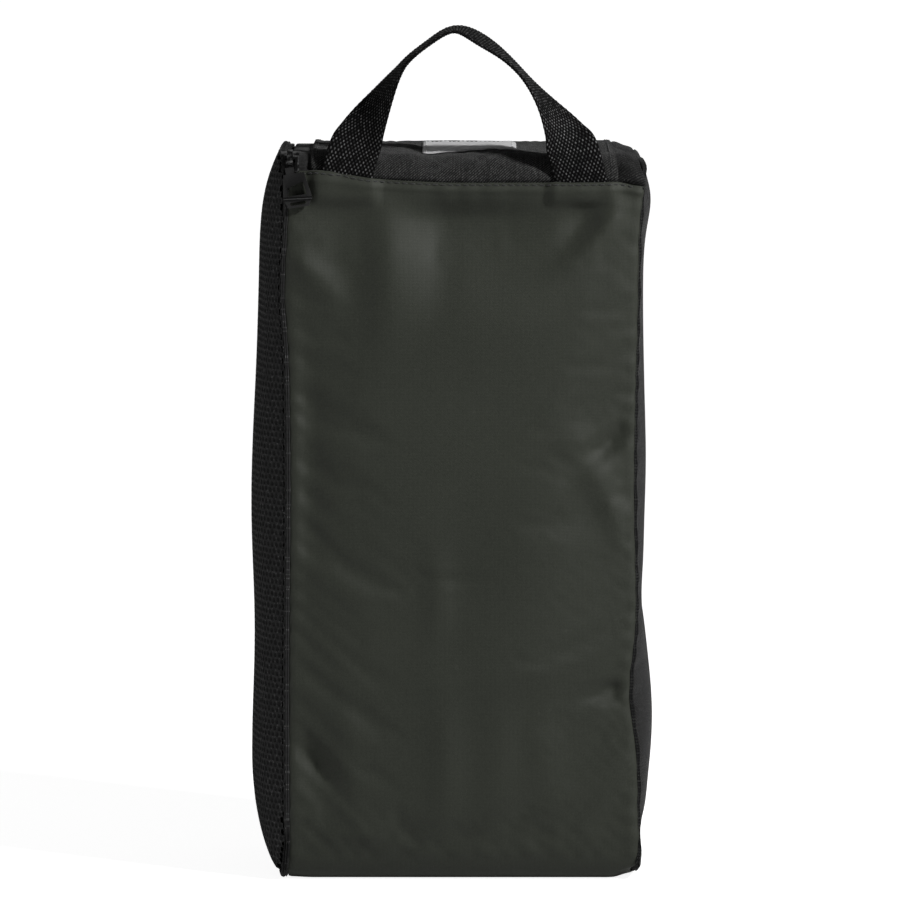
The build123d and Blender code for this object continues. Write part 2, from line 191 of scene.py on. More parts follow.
# Soft folds of the coated front: place across (0 left to 1 right) and up (0 to 1), the fold's
# direction in degrees from upright, half length, half width and depth in millimetres
FRONT_FOLDS = [
    (0.53, 0.900, 90, 38, 26, -3.0),
    (0.60, 0.765, 82, 52, 20, 1.1),
    (0.29, 0.860, 2, 44, 11, 1.0),
    (0.17, 0.840, -4, 46, 16, -1.2),
    (0.44, 0.870, 0, 36, 10, -0.7),
    (0.84, 0.905, 20, 18, 8, -1.4),
    (0.88, 0.885, 42, 24, 7, 1.7),
    (0.06, 0.840, -52, 20, 6, 1.2),
    (0.06, 0.580, 0, 60, 10, -1.1),
    (0.93, 0.610, 50, 22, 5, -1.4),
    (0.90, 0.540, -30, 32, 8, 1.1),
    (0.43, 0.395, 0, 22, 7, 0.7),
    (0.70, 0.450, 20, 52, 24, 1.2),
    (0.67, 0.290, 70, 32, 11, 0.8),
    (0.97, 0.265, 78, 18, 4, -2.0),
    (0.08, 0.160, -40, 28, 9, -1.9),
    (0.20, 0.090, -40, 26, 9, 1.1),
    (0.17, 0.180, 0, 36, 8, 0.6),
    (0.45, 0.160, 0, 36, 8, 0.6),
    (0.60, 0.170, 4, 34, 9, 0.5),
    (0.74, 0.150, -4, 30, 9, 0.5),
    (0.60, 0.060, 84, 44, 12, -1.0),
]


def front_relief(across, up, width, height):
    """The coated front's soft folds, as a distance out from the flat."""
    total = np.zeros(np.broadcast(across, up).shape)
    for place_x, place_z, angle, length, breadth, depth in FRONT_FOLDS:
        turn = math.radians(angle)
        dx = (across - place_x) * width
        dz = (up - place_z) * height
        along = (dz * math.cos(turn) + dx * math.sin(turn)) / (length * MM)
        beside = (dx * math.cos(turn) - dz * math.sin(turn)) / (breadth * MM)
        bend = beside + 0.25 * along * along
        total = total + depth * MM * np.exp(-along ** 2 - bend ** 2)
    return total


# ---------------------------------------------------------------- smooth sheets from point grids

def cubic_weights(share):
    """Catmull-Rom weights of the four points round a place."""
    square = share * share
    cube = square * share
    return [
        0.5 * (-share + 2 * square - cube),
        0.5 * (2 - 5 * square + 3 * cube),
        0.5 * (share + 4 * square - 3 * cube),
        0.5 * (cube - square),
    ]


class Sheet:
    """A smooth surface through a grid of points, found by row and column numbers."""

    def __init__(self, points):
        self.points = points

    def place(self, row, col):
        """The place on the sheet at a row and column."""
        rows, cols = self.points.shape[:2]
        row, col = np.broadcast_arrays(np.asarray(row, float), np.asarray(col, float))
        low_row = np.clip(np.floor(row), 0, rows - 2).astype(int)
        low_col = np.clip(np.floor(col), 0, cols - 2).astype(int)
        row_weights = cubic_weights(row - low_row)
        col_weights = cubic_weights(col - low_col)
        total = np.zeros(row.shape + (3,))
        for a in range(4):
            near_row = np.clip(low_row + a - 1, 0, rows - 1)
            for b in range(4):
                near_col = np.clip(low_col + b - 1, 0, cols - 1)
                weight = (row_weights[a] * col_weights[b])[..., None]
                total += weight * self.points[near_row, near_col]
        return total

    def facing(self, row, col):
        """The outward direction of the sheet at a row and column."""
        step = 0.25
        down = self.place(row + step, col) - self.place(row - step, col)
        across = self.place(row, col + step) - self.place(row, col - step)
        normal = np.cross(down, across)
        return normal / np.maximum(np.linalg.norm(normal, axis=-1, keepdims=True), 1e-12)


def drape(points, pins, loose, pressure, frames=26, closed=False, cap=6 * MM):
    """Lets a grid of cloth settle between its pinned points, with loose as its spare length."""
    rows, cols = points.shape[:2]
    mesh = bpy.data.meshes.new("settling")
    index = np.arange(rows * cols).reshape(rows, cols)
    if closed:
        index = np.vstack([index, index[:1]])
    quads = np.stack([index[:-1, :-1], index[1:, :-1], index[1:, 1:], index[:-1, 1:]], axis=-1)
    mesh.from_pydata(points.reshape(-1, 3).tolist(), [], quads.reshape(-1, 4).tolist())
    cloth = bpy.data.objects.new("settling", mesh)
    bpy.context.scene.collection.objects.link(cloth)
    group = cloth.vertex_groups.new(name="pins")
    for number, weight in enumerate(pins.ravel()):
        if weight > 0:
            group.add([number], float(weight), "REPLACE")
    modifier = cloth.modifiers.new("cloth", "CLOTH")
    settings = modifier.settings
    settings.quality = 6
    settings.mass = 0.08
    settings.air_damping = 3
    settings.tension_stiffness = 12
    settings.compression_stiffness = 8
    settings.shear_stiffness = 4
    settings.bending_stiffness = 0.12
    settings.tension_damping = 8
    settings.compression_damping = 8
    settings.vertex_group_mass = "pins"
    settings.pin_stiffness = 2
    settings.shrink_min = -loose
    settings.use_pressure = True
    settings.uniform_pressure_force = pressure
    settings.effector_weights.gravity = 0.15
    modifier.collision_settings.use_collision = False
    modifier.collision_settings.use_self_collision = False
    modifier.point_cache.frame_start = 1
    modifier.point_cache.frame_end = frames
    for number in range(1, frames + 1):
        bpy.context.scene.frame_set(number)
    settled = cloth.evaluated_get(bpy.context.evaluated_depsgraph_get())
    result = np.array([v.co for v in settled.data.vertices]).reshape(rows, cols, 3)
    bpy.data.objects.remove(cloth)
    bpy.data.meshes.remove(mesh)
    bpy.context.scene.frame_set(1)
    moved = result - points
    size = np.linalg.norm(moved, axis=-1, keepdims=True)
    return points + moved * np.minimum(1, cap / np.maximum(size, 1e-9))


# ---------------------------------------------------------------- meshes

def finish_mesh(name, verts, faces, uvs, material):
    """An object from vertices, faces and one UV pair for each vertex, with faces turned outwards."""
    mesh = bpy.data.meshes.new(name)
    mesh.from_pydata(np.asarray(verts).tolist(), [], [list(map(int, face)) for face in faces])
    bm = bmesh.new()
    bm.from_mesh(mesh)
    bmesh.ops.recalc_face_normals(bm, faces=bm.faces)
    bm.to_mesh(mesh)
    bm.free()
    if uvs is not None:
        layer = mesh.uv_layers.new(name=WEAVE_UV)
        corners = np.zeros(len(mesh.loops), int)
        mesh.loops.foreach_get("vertex_index", corners)
        layer.data.foreach_set("uv", np.asarray(uvs, np.float32)[corners].ravel())
    mesh.polygons.foreach_set("use_smooth", [True] * len(mesh.polygons))
    mesh.materials.append(material)
    mesh.update()
    piece = bpy.data.objects.new(name, mesh)
    bpy.context.scene.collection.objects.link(piece)
    return piece


def settle_piece(piece, body, slot_name, *nodes):
    """Puts a finished piece on its body, and lets it stand for its CAD nodes."""
    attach(piece, body)
    if nodes:
        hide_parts(*nodes)
    return piece


def cloth_faces(outer, normals, thickness, keep, uv):
    """The vertices, faces and UVs of a piece of cloth with thickness, from its outer face's grid."""
    rows, cols = outer.shape[:2]
    index = np.arange(rows * cols).reshape(rows, cols)
    quads = np.stack([index[:-1, :-1], index[:-1, 1:], index[1:, 1:], index[1:, :-1]], axis=-1)
    quads = quads[keep]
    edges = {}
    for quad in quads:
        for k in range(4):
            pair = (int(quad[k]), int(quad[(k + 1) % 4]))
            if pair[::-1] in edges:
                del edges[pair[::-1]]
            else:
                edges[pair] = True
    rim = np.zeros(rows * cols, bool)
    for a, b in edges:
        rim[a] = rim[b] = True
    depth = np.where(rim, 0.28, 0.0)[:, None] * thickness
    flat = outer.reshape(-1, 3)
    normal = normals.reshape(-1, 3)
    top = flat - normal * depth
    under = flat - normal * (thickness - depth)
    shift = rows * cols
    faces = [tuple(quad) for quad in quads]
    faces += [tuple(quad[::-1] + shift) for quad in quads]
    faces += [(b, a, a + shift, b + shift) for a, b in edges]
    used = sorted({int(v) for face in faces for v in face})
    renumber = {old: new for new, old in enumerate(used)}
    verts = np.vstack([top, under])[used]
    uvs = np.vstack([uv.reshape(-1, 2), uv.reshape(-1, 2)])[used]
    faces = [tuple(renumber[int(v)] for v in face) for face in faces]
    return verts, faces, uvs


def join_parts(parts):
    """Several (verts, faces, uvs) as one."""
    verts, faces, uvs = [], [], []
    count = 0
    for part_verts, part_faces, part_uvs in parts:
        verts.append(part_verts)
        uvs.append(part_uvs)
        faces += [tuple(int(v) + count for v in face) for face in part_faces]
        count += len(part_verts)
    return np.vstack(verts), faces, np.vstack(uvs)


def tube_faces(path, radius, sides=8, closed=False, flat=1.0, up=None):
    """A round or flattened tube along a path, with rounded ends unless it is closed."""
    path = np.asarray(path, float)
    count = len(path)
    ahead = np.roll(path, -1, axis=0) - np.roll(path, 1, axis=0)
    if not closed:
        ahead[0] = path[1] - path[0]
        ahead[-1] = path[-1] - path[-2]
    ahead /= np.maximum(np.linalg.norm(ahead, axis=1, keepdims=True), 1e-12)
    guide = np.broadcast_to(np.array([0.0, 0, 1]) if up is None else up, path.shape)
    side = np.cross(ahead, guide)
    weak = np.linalg.norm(side, axis=1) < 1e-3
    side[weak] = np.cross(ahead[weak], [1.0, 0.03, 0])
    side /= np.linalg.norm(side, axis=1, keepdims=True)
    top = np.cross(side, ahead)
    radii = np.broadcast_to(np.asarray(radius, float), (count,))
    turn = np.arange(sides) * 2 * math.pi / sides
    ring = side[:, None] * np.cos(turn)[None, :, None] + flat * top[:, None] * np.sin(turn)[None, :, None]
    verts = (path[:, None] + ring * radii[:, None, None]).reshape(-1, 3)
    run = run_length(path)
    u = np.broadcast_to(np.arange(sides) / sides * 2 * math.pi * np.mean(radii) / MM, (count, sides))
    v = np.broadcast_to(run[:, None] / MM, (count, sides))
    uvs = np.stack([u, v], axis=-1).reshape(-1, 2)
    faces = []
    last = count if closed else count - 1
    for i in range(last):
        j = (i + 1) % count
        for k in range(sides):
            n = (k + 1) % sides
            faces.append((i * sides + k, i * sides + n, j * sides + n, j * sides + k))
    if not closed:
        faces.append(tuple(range(sides)))
        faces.append(tuple((count - 1) * sides + k for k in reversed(range(sides))))
    return verts, faces, uvs


def stitch_faces(start, end, facing, radius):
    """One stitch: a short plump thread that dives into the cloth at both ends."""
    share = np.array([0, 0.12, 0.35, 0.65, 0.88, 1.0])
    rise = np.array([-0.9, 0.1, 0.7, 0.7, 0.1, -0.9])
    path = start + (end - start) * share[:, None] + facing * (rise * radius)[:, None]
    radii = radius * np.array([0.5, 0.85, 1, 1, 0.85, 0.5])
    return tube_faces(path, radii, sides=6, up=facing)


def stitch_row(places, facings, pitch, length, radius):
    """Stitches along a polyline, one every pitch."""
    run = run_length(places)
    parts = []
    spot = pitch / 2
    while spot + length < run[-1]:
        ends = [
            np.array([np.interp(where, run, places[:, axis]) for axis in range(3)])
            for where in (spot, spot + length)
        ]
        facing = np.array([np.interp(spot, run, facings[:, axis]) for axis in range(3)])
        parts.append(stitch_faces(ends[0], ends[1], facing / np.linalg.norm(facing), radius))
        spot += pitch
    return parts


# ---------------------------------------------------------------- materials

# The pattern of the webbing, across and along it, in millimetres
WEBBING_PITCH_U = 1.9
WEBBING_PITCH_V = 2.9


class Shader:
    """One procedural material, put together node by node on a Principled surface."""

    def __init__(self, name):
        self.material = bpy.data.materials.new(name)
        self.material.use_nodes = True
        self.tree = self.material.node_tree
        self.tree.nodes.clear()
        output = self.tree.nodes.new("ShaderNodeOutputMaterial")
        self.surface = self.tree.nodes.new("ShaderNodeBsdfPrincipled")
        self.tree.links.new(self.surface.outputs[0], output.inputs["Surface"])

    def put(self, socket, value):
        """Feeds a socket with another node's output or with a plain value."""
        if isinstance(value, bpy.types.NodeSocket):
            self.tree.links.new(value, socket)
        else:
            socket.default_value = value

    def node(self, kind, inputs=None, **settings):
        """A new node with its settings and inputs."""
        node = self.tree.nodes.new(kind)
        for name, value in settings.items():
            setattr(node, name, value)
        for name, value in (inputs or {}).items():
            self.put(node.inputs[name], value)
        return node

    def math(self, operation, first, second=0.0, third=0.0):
        """One sum of up to three values."""
        inputs = {0: first, 1: second, 2: third}
        return self.node("ShaderNodeMath", inputs, operation=operation).outputs[0]

    def weave_uv(self):
        """Places along and across the cloth's grain, in millimetres."""
        uv = self.node("ShaderNodeUVMap", uv_map=WEAVE_UV).outputs[0]
        split = self.node("ShaderNodeSeparateXYZ", {0: uv})
        return uv, split.outputs[0], split.outputs[1]

    def object_place(self):
        """The place on the object, in metres."""
        return self.node("ShaderNodeTexCoord").outputs["Object"]

    def noise(self, vector, scale, detail=3.0, roughness=0.55):
        """Soft random patches from 0 to 1."""
        inputs = {"Vector": vector, "Scale": scale, "Detail": detail, "Roughness": roughness}
        return self.node("ShaderNodeTexNoise", inputs).outputs["Fac"]

    def threads(self, u, v, pitch_u, pitch_v):
        """Rounded bumps, one for each crossing of two sets of threads."""
        across = self.math("ABSOLUTE", self.math("SINE", self.math("MULTIPLY", u, math.pi / pitch_u)))
        along = self.math("ABSOLUTE", self.math("SINE", self.math("MULTIPLY", v, math.pi / pitch_v)))
        return self.math("MULTIPLY", across, along)

    def cell_chance(self, u, v, pitch_u, pitch_v):
        """A random number for each crossing."""
        column = self.math("FLOOR", self.math("DIVIDE", u, pitch_u))
        row = self.math("FLOOR", self.math("DIVIDE", v, pitch_v))
        spot = self.node("ShaderNodeCombineXYZ", {0: column, 1: row}).outputs[0]
        return self.node("ShaderNodeTexWhiteNoise", {"Vector": spot}).outputs["Value"]

    def between(self, share, low, high):
        """A share of 0 to 1 spread between low and high."""
        return self.node("ShaderNodeMapRange", {0: share, 3: low, 4: high}).outputs[0]

    def mix(self, share, first, second):
        """A blend of two colours."""
        inputs = {0: share, 6: first, 7: second}
        return self.node("ShaderNodeMix", inputs, data_type="RGBA").outputs[2]

    def emboss(self, height, distance, strength=1.0):
        """Small relief: distance is its depth in metres."""
        inputs = {"Height": height, "Distance": distance, "Strength": strength}
        return self.node("ShaderNodeBump", inputs).outputs[0]

    def crease(self):
        """The surface's pointiness: low in folds and seams, high on edges, which callers show lighter as
        worn.
        """
        return self.node("ShaderNodeNewGeometry").outputs["Pointiness"]

    def finish(self, **values):
        """Sets the surface's inputs and returns the material."""
        for name, value in values.items():
            self.put(self.surface.inputs[name.replace("_", " ")], value)
        return self.material


def grey(value, tint=(1, 1, 1)):
    """A grey, or a grey with a slight tint."""
    return (value * tint[0], value * tint[1], value * tint[2], 1)


def coated_cloth():
    """Olive grey plain weave under a thin coat: a soft sheen, faint cloudiness and scuffs."""
    s = Shader("coated_cloth")
    uv, u, v = s.weave_uv()
    place = s.object_place()
    pitch_u, pitch_v = 0.62, 0.7
    weave = s.threads(u, v, pitch_u, pitch_v)
    cloud = s.noise(place, 16, 4)
    fine = s.noise(uv, 1.7, 2)
    chance = s.cell_chance(u, v, pitch_u, pitch_v)
    tone = s.mix(cloud, (0.015, 0.018, 0.0115, 1), (0.027, 0.0305, 0.0215, 1))
    tone = s.mix(s.math("MULTIPLY", chance, 0.22), tone, (0.044, 0.048, 0.036, 1))
    scuff = s.math("MULTIPLY", s.math("GREATER_THAN", s.noise(place, 90, 6, 0.7), 0.67), 0.18)
    tone = s.mix(scuff, tone, (0.055, 0.058, 0.048, 1))
    rough = s.between(s.noise(place, 30, 3), 0.56, 0.74)
    height = s.math("ADD", s.math("MULTIPLY", weave, 0.7), s.math("MULTIPLY", fine, 0.9))
    return s.finish(
        Base_Color=tone, Roughness=rough, Normal=s.emboss(height, 0.00006),
        Sheen_Weight=0.10, Sheen_Roughness=0.5, Specular_IOR_Level=0.34,
    )


def heather_cloth(name, light, slub=0.0):
    """A black and grey twill in which single threads, and short thick slubs, come up lighter."""
    s = Shader(name)
    _, u, v = s.weave_uv()
    pitch = 0.38
    column = s.math("FLOOR", s.math("DIVIDE", u, pitch))
    row = s.math("FLOOR", s.math("DIVIDE", v, pitch))
    step = s.math("FLOORED_MODULO", s.math("ADD", column, row), 4)
    light_up = s.math("LESS_THAN", step, 2)
    chance = s.cell_chance(u, v, pitch, pitch * 3)
    streak = s.cell_chance(u, v, pitch, 40)
    fleck = s.math("MULTIPLY", light_up, s.between(chance, 0.15, 1.0))
    fleck = s.math("MULTIPLY", fleck, s.between(streak, 0.45, 1.0))
    thick = s.cell_chance(u, v, 9, 0.75)
    fleck = s.math("MULTIPLY", fleck, s.between(thick, 1 - slub, 1 + slub))
    tone = s.mix(fleck, grey(0.005), grey(light, (1, 1, 0.98)))
    bumps = s.threads(u, v, pitch, pitch)
    height = s.math("ADD", bumps, s.math("MULTIPLY", light_up, 0.6))
    return s.finish(
        Base_Color=tone, Roughness=0.86, Normal=s.emboss(height, 0.00012),
        Sheen_Weight=0.1, Sheen_Roughness=0.4, Specular_IOR_Level=0.15,
    )


def ribbed_tape(name, pitch_u, pitch_v, dark, light, rough=0.8):
    """Narrow woven goods: cross ribs, with a fine thread over them."""
    s = Shader(name)
    _, u, v = s.weave_uv()
    ribs = s.threads(u, v, pitch_u, pitch_v)
    chance = s.cell_chance(u, v, pitch_u, pitch_v)
    tone = s.mix(s.math("MULTIPLY", ribs, s.between(chance, 0.3, 1.0)), dark, light)
    return s.finish(
        Base_Color=tone, Roughness=rough, Normal=s.emboss(ribs, 0.00012),
        Sheen_Weight=0.08, Specular_IOR_Level=0.15,
    )


def webbing_cloth():
    """Black polyester webbing whose raised yarns carry painted highlights: bright flecks on their crowns."""
    s = Shader("webbing_cloth")
    uv, u, v = s.weave_uv()
    wave_u = s.math("SINE", s.math("MULTIPLY", u, 2 * math.pi / WEBBING_PITCH_U))
    wave_v = s.math("SINE", s.math("MULTIPLY", v, 2 * math.pi / WEBBING_PITCH_V))
    crown = s.math("MAXIMUM", s.math("MULTIPLY", wave_u, wave_v), 0.0)
    chance = s.cell_chance(u, v, WEBBING_PITCH_U / 2, WEBBING_PITCH_V / 2)
    # painted highlight: the yarn crowns get bright flecks in the base colour, of random strength per cell
    fleck = s.math("MULTIPLY", s.math("POWER", crown, 2.0), s.between(chance, -0.15, 1.0))
    tone = s.mix(fleck, grey(0.002), grey(0.17))
    fibre = s.noise(uv, 6, 2)
    rough = s.between(crown, 0.75, 0.42)
    return s.finish(
        Base_Color=tone, Roughness=rough, Normal=s.emboss(fibre, 0.00006),
        Sheen_Weight=0.01, Specular_IOR_Level=s.between(crown, 0.05, 0.4),
    )


def knitted_mesh(name, light):
    """Spacer mesh yarn: dark knit loops, a little lighter on their crowns, with a dull fibre shine and
    painted glints.
    """
    s = Shader(name)
    uv, u, v = s.weave_uv()
    pitch_u, pitch_v = 0.45, 0.6
    loops = s.threads(u, v, pitch_u, pitch_v)
    chance = s.noise(uv, 0.9, 3)
    # painted glints: about one knit cell in twenty is painted halfway towards a bright grey
    glint = s.math("GREATER_THAN", s.cell_chance(u, v, pitch_u, pitch_v), 0.95)
    tone = s.mix(s.math("MULTIPLY", loops, chance), grey(0.003), grey(light))
    tone = s.mix(s.math("MULTIPLY", glint, 0.5), tone, grey(2.2 * light))
    return s.finish(
        Base_Color=tone, Roughness=0.5, Normal=s.emboss(loops, 0.00012),
        Sheen_Weight=0.02, Specular_IOR_Level=0.2,
    )


def twisted_thread(name, tone):
    """Sewing thread: slanting plies."""
    s = Shader(name)
    _, u, v = s.weave_uv()
    ply = s.math("SINE", s.math("MULTIPLY", s.math("ADD", u, s.math("MULTIPLY", v, 2.0)), 9.0))
    shade = s.mix(s.between(ply, 0.2, 1.0), grey(tone * 0.5), grey(tone))
    return s.finish(Base_Color=shade, Roughness=0.6, Normal=s.emboss(ply, 0.00004), Sheen_Weight=0.2)


def satin_label():
    """A pale woven label: fine satin ribs and slightly grubby edges."""
    s = Shader("satin_label")
    _, u, v = s.weave_uv()
    ribs = s.threads(u, v, 0.35, 0.9)
    grime = s.noise(s.object_place(), 60, 4)
    tone = s.mix(grime, grey(0.80), grey(0.66, (1, 1, 1.02)))
    tone = s.mix(s.math("MULTIPLY", ribs, 0.3), tone, grey(0.9))
    return s.finish(
        Base_Color=tone, Roughness=0.5, Normal=s.emboss(ribs, 0.00008), Sheen_Weight=0.2,
    )


def nylon_coil():
    """Smooth black nylon, a little duller where the slider has run."""
    s = Shader("nylon_coil")
    wear = s.noise(s.object_place(), 300, 3)
    tone = s.mix(wear, grey(0.010), grey(0.026))
    return s.finish(Base_Color=tone, Roughness=s.between(wear, 0.28, 0.5), Specular_IOR_Level=0.5)


def painted_zinc():
    """Black paint over die-cast zinc, with bright metal where edges have rubbed."""
    s = Shader("painted_zinc")
    place = s.object_place()
    grain = s.noise(place, 900, 3)
    wear = s.math("ADD", s.crease(), s.math("MULTIPLY", s.noise(place, 500, 4), 0.10))
    bare = s.node("ShaderNodeMapRange", {0: wear, 1: 0.68, 2: 0.80}).outputs[0]
    tone = s.mix(bare, grey(0.004), grey(0.40))
    return s.finish(
        Base_Color=tone, Metallic=s.between(bare, 0.0, 1.0), Roughness=s.between(grain, 0.16, 0.3),
        Normal=s.emboss(grain, 0.00002), Specular_IOR_Level=0.4,
    )


def bright_wire():
    """Polished dark wire."""
    s = Shader("bright_wire")
    grain = s.noise(s.object_place(), 1200, 2)
    tone = s.mix(grain, grey(0.05), grey(0.12))
    return s.finish(Base_Color=tone, Metallic=1.0, Roughness=s.between(grain, 0.14, 0.26))


def moulded_plastic():
    """Black moulded plastic with a fine spark-eroded grain and rubbed edges."""
    s = Shader("moulded_plastic")
    place = s.object_place()
    grain = s.noise(place, 2600, 2)
    rubbed = s.node("ShaderNodeMapRange", {0: s.crease(), 1: 0.52, 2: 0.62}).outputs[0]
    tone = s.mix(s.math("MULTIPLY", rubbed, 0.5), grey(0.003), grey(0.05))
    return s.finish(
        Base_Color=tone, Roughness=s.between(grain, 0.26, 0.42), Normal=s.emboss(grain, 0.00002),
        Specular_IOR_Level=0.16,
    )


COATED = coated_cloth()
HEATHER = heather_cloth("heather_cloth", 0.105)
# The same heather with slubs, which are the yarn's own, and a darker light thread, which is painted shade,
# for the right side and the top's right strip
SHADED_SLUB_HEATHER = heather_cloth("dark_heather_cloth", 0.055, 0.5)
WEBBING = webbing_cloth()
MESH_YARN = knitted_mesh("mesh_yarn", 0.085)
# painted shade: a near-black copy of the mesh yarn for the walls and floors of the wells
MESH_WELL_SHADE = knitted_mesh("mesh_floor", 0.002)
BINDING = ribbed_tape("binding_ribs", 0.5, 1.1, grey(0.006), grey(0.03))
ZIP_TAPE = ribbed_tape("zip_tape_ribs", 0.5, 0.9, grey(0.004), grey(0.05))
OLIVE_THREAD = twisted_thread("olive_thread", 0.022)
BLACK_THREAD = twisted_thread("black_thread", 0.02)
LABEL = satin_label()
NYLON = nylon_coil()
ZINC = painted_zinc()
WIRE = bright_wire()
PLASTIC = moulded_plastic()


# ---------------------------------------------------------------- the wrap of front, base, back and top

WIDTH = RIGHT - LEFT
WRAP_PITCH = 4.5 * MM
WRAP_ROWS = round(LOOP / WRAP_PITCH)
WRAP_COLS = round(WIDTH / WRAP_PITCH) + 1
WRAP_STEP = LOOP / WRAP_ROWS
PAD = 4
UNDER_LAP = -(CLOTH + 0.2 * MM)
INSIDE = -(CLOTH + 0.3 * MM)
FOOT_X = 57.5 * MM
HEM_STITCH = 1.4 * MM
WEB_WIDTH = 25 * MM
WEB_THICKNESS = 1.8 * MM
FOLD_STRENGTH = 2.6
WRAP_LOOSE = 0.006
WRAP_PRESSURE = 1.2


def wrap_grid():
    """Each point of the wrap: its distance along the outline and its share of the way across."""
    return np.meshgrid(np.arange(WRAP_ROWS) * WRAP_STEP, np.linspace(0, 1, WRAP_COLS), indexing="ij")


def flat_wrap():
    """The wrap before it settles: the side outline drawn across, with its wandering side seams."""
    along, share = wrap_grid()
    place, facing = outline(along)
    y, z = place[..., 0], place[..., 1]
    near_left = 1 - ease(share * WIDTH, 0, 26 * MM)
    near_right = 1 - ease((1 - share) * WIDTH, 0, 26 * MM)
    x = LEFT + share * WIDTH + near_left * edge_shift(y, z, -1) + near_right * edge_shift(y, z, 1)
    middle = np.sin(np.pi * share)
    puff = 2.4 * MM * middle * np.sin(np.pi * np.clip(z / RIDGE_Z, 0, 1)) * facing[..., 0] ** 2
    puff = puff - 2.6 * MM * (1 - ease(z, 0, 34 * MM)) ** 2 * np.maximum(-facing[..., 0], 0)
    sag = -0.8 * MM * middle * np.maximum(facing[..., 1], 0) * ease(y, FRONT, 0)
    lift = puff + sag
    from_zip = ease(share * WIDTH, 14 * MM, 44 * MM)
    settle = 2.8 * MM * from_zip * ease(z, CORNER_Z - TOP_R, RIDGE_Z) * (1 - ease(y, FRONT, 0))
    for side, beside in ((-1, share * WIDTH), (1, (1 - share) * WIDTH)):
        settle = settle + shoulder(z, side) * (1 - ease(beside, 0, 16 * MM)) ** 1.5
        settle = settle - heel(z, side) * (1 - ease(beside, 0, 15 * MM)) ** 2
    return np.stack([x, y + facing[..., 0] * lift, z + facing[..., 1] * lift - settle], axis=-1)


def wrap_pins():
    """How firmly each place of the wrap is held: sewn edges, seams, the zip's strip and the base."""
    along, share = wrap_grid()
    pins = np.zeros(along.shape)
    for seam in (0, BACK_START, BACK_CORNER):
        away = np.abs(np.mod(along - seam + LOOP / 2, LOOP) - LOOP / 2)
        pins = np.maximum(pins, 0.6 * (away < WRAP_STEP))
    pins[(along > BASE_START) & (along < BACK_START)] = 1
    pins[(along > BASE_START) & (LEFT + share * WIDTH < ZIP_PANEL_X)] = 1
    pins[along > TOP_START] = np.maximum(pins[along > TOP_START], 0.25)
    pins[:, [0, -1]] = 1
    return pins


def settled_wrap():
    """The wrap after it has settled, calmed near the front's hem, with the front's broad folds."""
    flat = flat_wrap()
    points = drape(flat, wrap_pins(), WRAP_LOOSE, WRAP_PRESSURE, closed=True, cap=4 * MM)
    along, share = wrap_grid()
    calm = np.where(along < BASE_START, ease(along, 4 * MM, 60 * MM), 1)
    points = flat + (points - flat) * calm[..., None]
    from_edge = WIDTH * np.minimum(share, 1 - share)
    relief = FOLD_STRENGTH * front_relief(share, np.clip((CORNER_Z - along) / RIDGE_Z, 0, 1), WIDTH, RIDGE_Z)
    relief = relief * ease(from_edge, 0, 12 * MM) * ease(along, 3 * MM, 20 * MM)
    points[..., 1] -= relief * (1 - ease(along, BASE_START - 12 * MM, BASE_START))
    points[..., 2] = np.maximum(points[..., 2], 0)
    return Sheet(np.concatenate([points[-PAD:], points, points[:PAD + 1]]))


WRAP = settled_wrap()


def on_wrap(along, x, lift=0.0):
    """Places on the wrap and its outward directions, lifted off its outer face."""
    along, x, lift = np.broadcast_arrays(np.asarray(along, float), x, lift)
    row = along / WRAP_STEP + PAD
    col = (x - LEFT) / WIDTH * (WRAP_COLS - 1)
    facing = WRAP.facing(row, col)
    return WRAP.place(row, col) + facing * lift[..., None], facing


def front_seam(x):
    """Where the front's folded top edge runs: it drops a little from the left to the right."""
    share = (x - LEFT) / WIDTH
    return (-5.4 + 5.0 * ease(share, -0.05, 0.5) - 0.9 * ease(share, 0.85, 1)) * MM


def over_feet(along, x):
    """A hill of height 1 over each end of the handle, where it is sewn under the front's edge."""
    beside = np.abs(np.abs(x) - FOOT_X) / (WEB_WIDTH / 2)
    return (1 - ease(beside, 1.04, 1.5)) * (1 - ease(along, 6 * MM, 15 * MM))


def roll_in(away, depth, reach):
    """A sewn edge dives into its seam."""
    return -depth * (1 - ease(away, 0, reach)) ** 2


def front_lift(along, x):
    """The coated front's shape in detail: rolled edges, puckers and the stitched hem."""
    away = np.minimum(x - LEFT, RIGHT - x)
    below = along - front_seam(x)
    lift = roll_in(away, 1.3 * MM, 4 * MM)
    pucker = np.sin(along / (2.1 * MM) + 3 * np.sin(along / (17 * MM)))
    lift = lift + 0.28 * MM * pucker * bump(away, 4 * MM, 4 * MM)
    ruffle = np.sin(x / (2.6 * MM) + 2.2 * np.sin(x / (13 * MM)))
    lift = lift + 0.22 * MM * ruffle * bump(below, 6 * MM, 6 * MM)
    lift = lift - 0.5 * MM * bump(below, HEM_STITCH, 0.8 * MM)
    lift = lift + 0.5 * MM * bump(below, 4.5 * MM, 1.6 * MM)
    lift = lift + 3.0 * MM * over_feet(along, x) * ease(below, -2 * MM, 1 * MM)
    return np.where(along > BASE_START, lift * (1 - ease(along, BASE_START, BASE_FLAT_START)), lift)


def steps(start, end, pitch):
    """Evenly spaced places from start to end, about pitch apart."""
    return np.linspace(start, end, max(2, round(abs(end - start) / pitch) + 1))


def wrap_cloth(along, x, lift, thickness, keep=None):
    """A piece of cloth on the wrap, from a grid of places."""
    along, x = np.broadcast_arrays(along, x)
    outer, normals = on_wrap(along, x, lift)
    if keep is None:
        keep = np.ones((along.shape[0] - 1, along.shape[1] - 1), bool)
    uv = np.stack([x / MM, along / MM], axis=-1)
    return cloth_faces(outer, normals, thickness, keep, uv)


def make(name, body, slot_name, material, mesh, *nodes):
    """A piece from its mesh, on its body, standing for its CAD nodes."""
    return settle_piece(finish_mesh(name, *mesh, material), body, slot_name, *nodes)


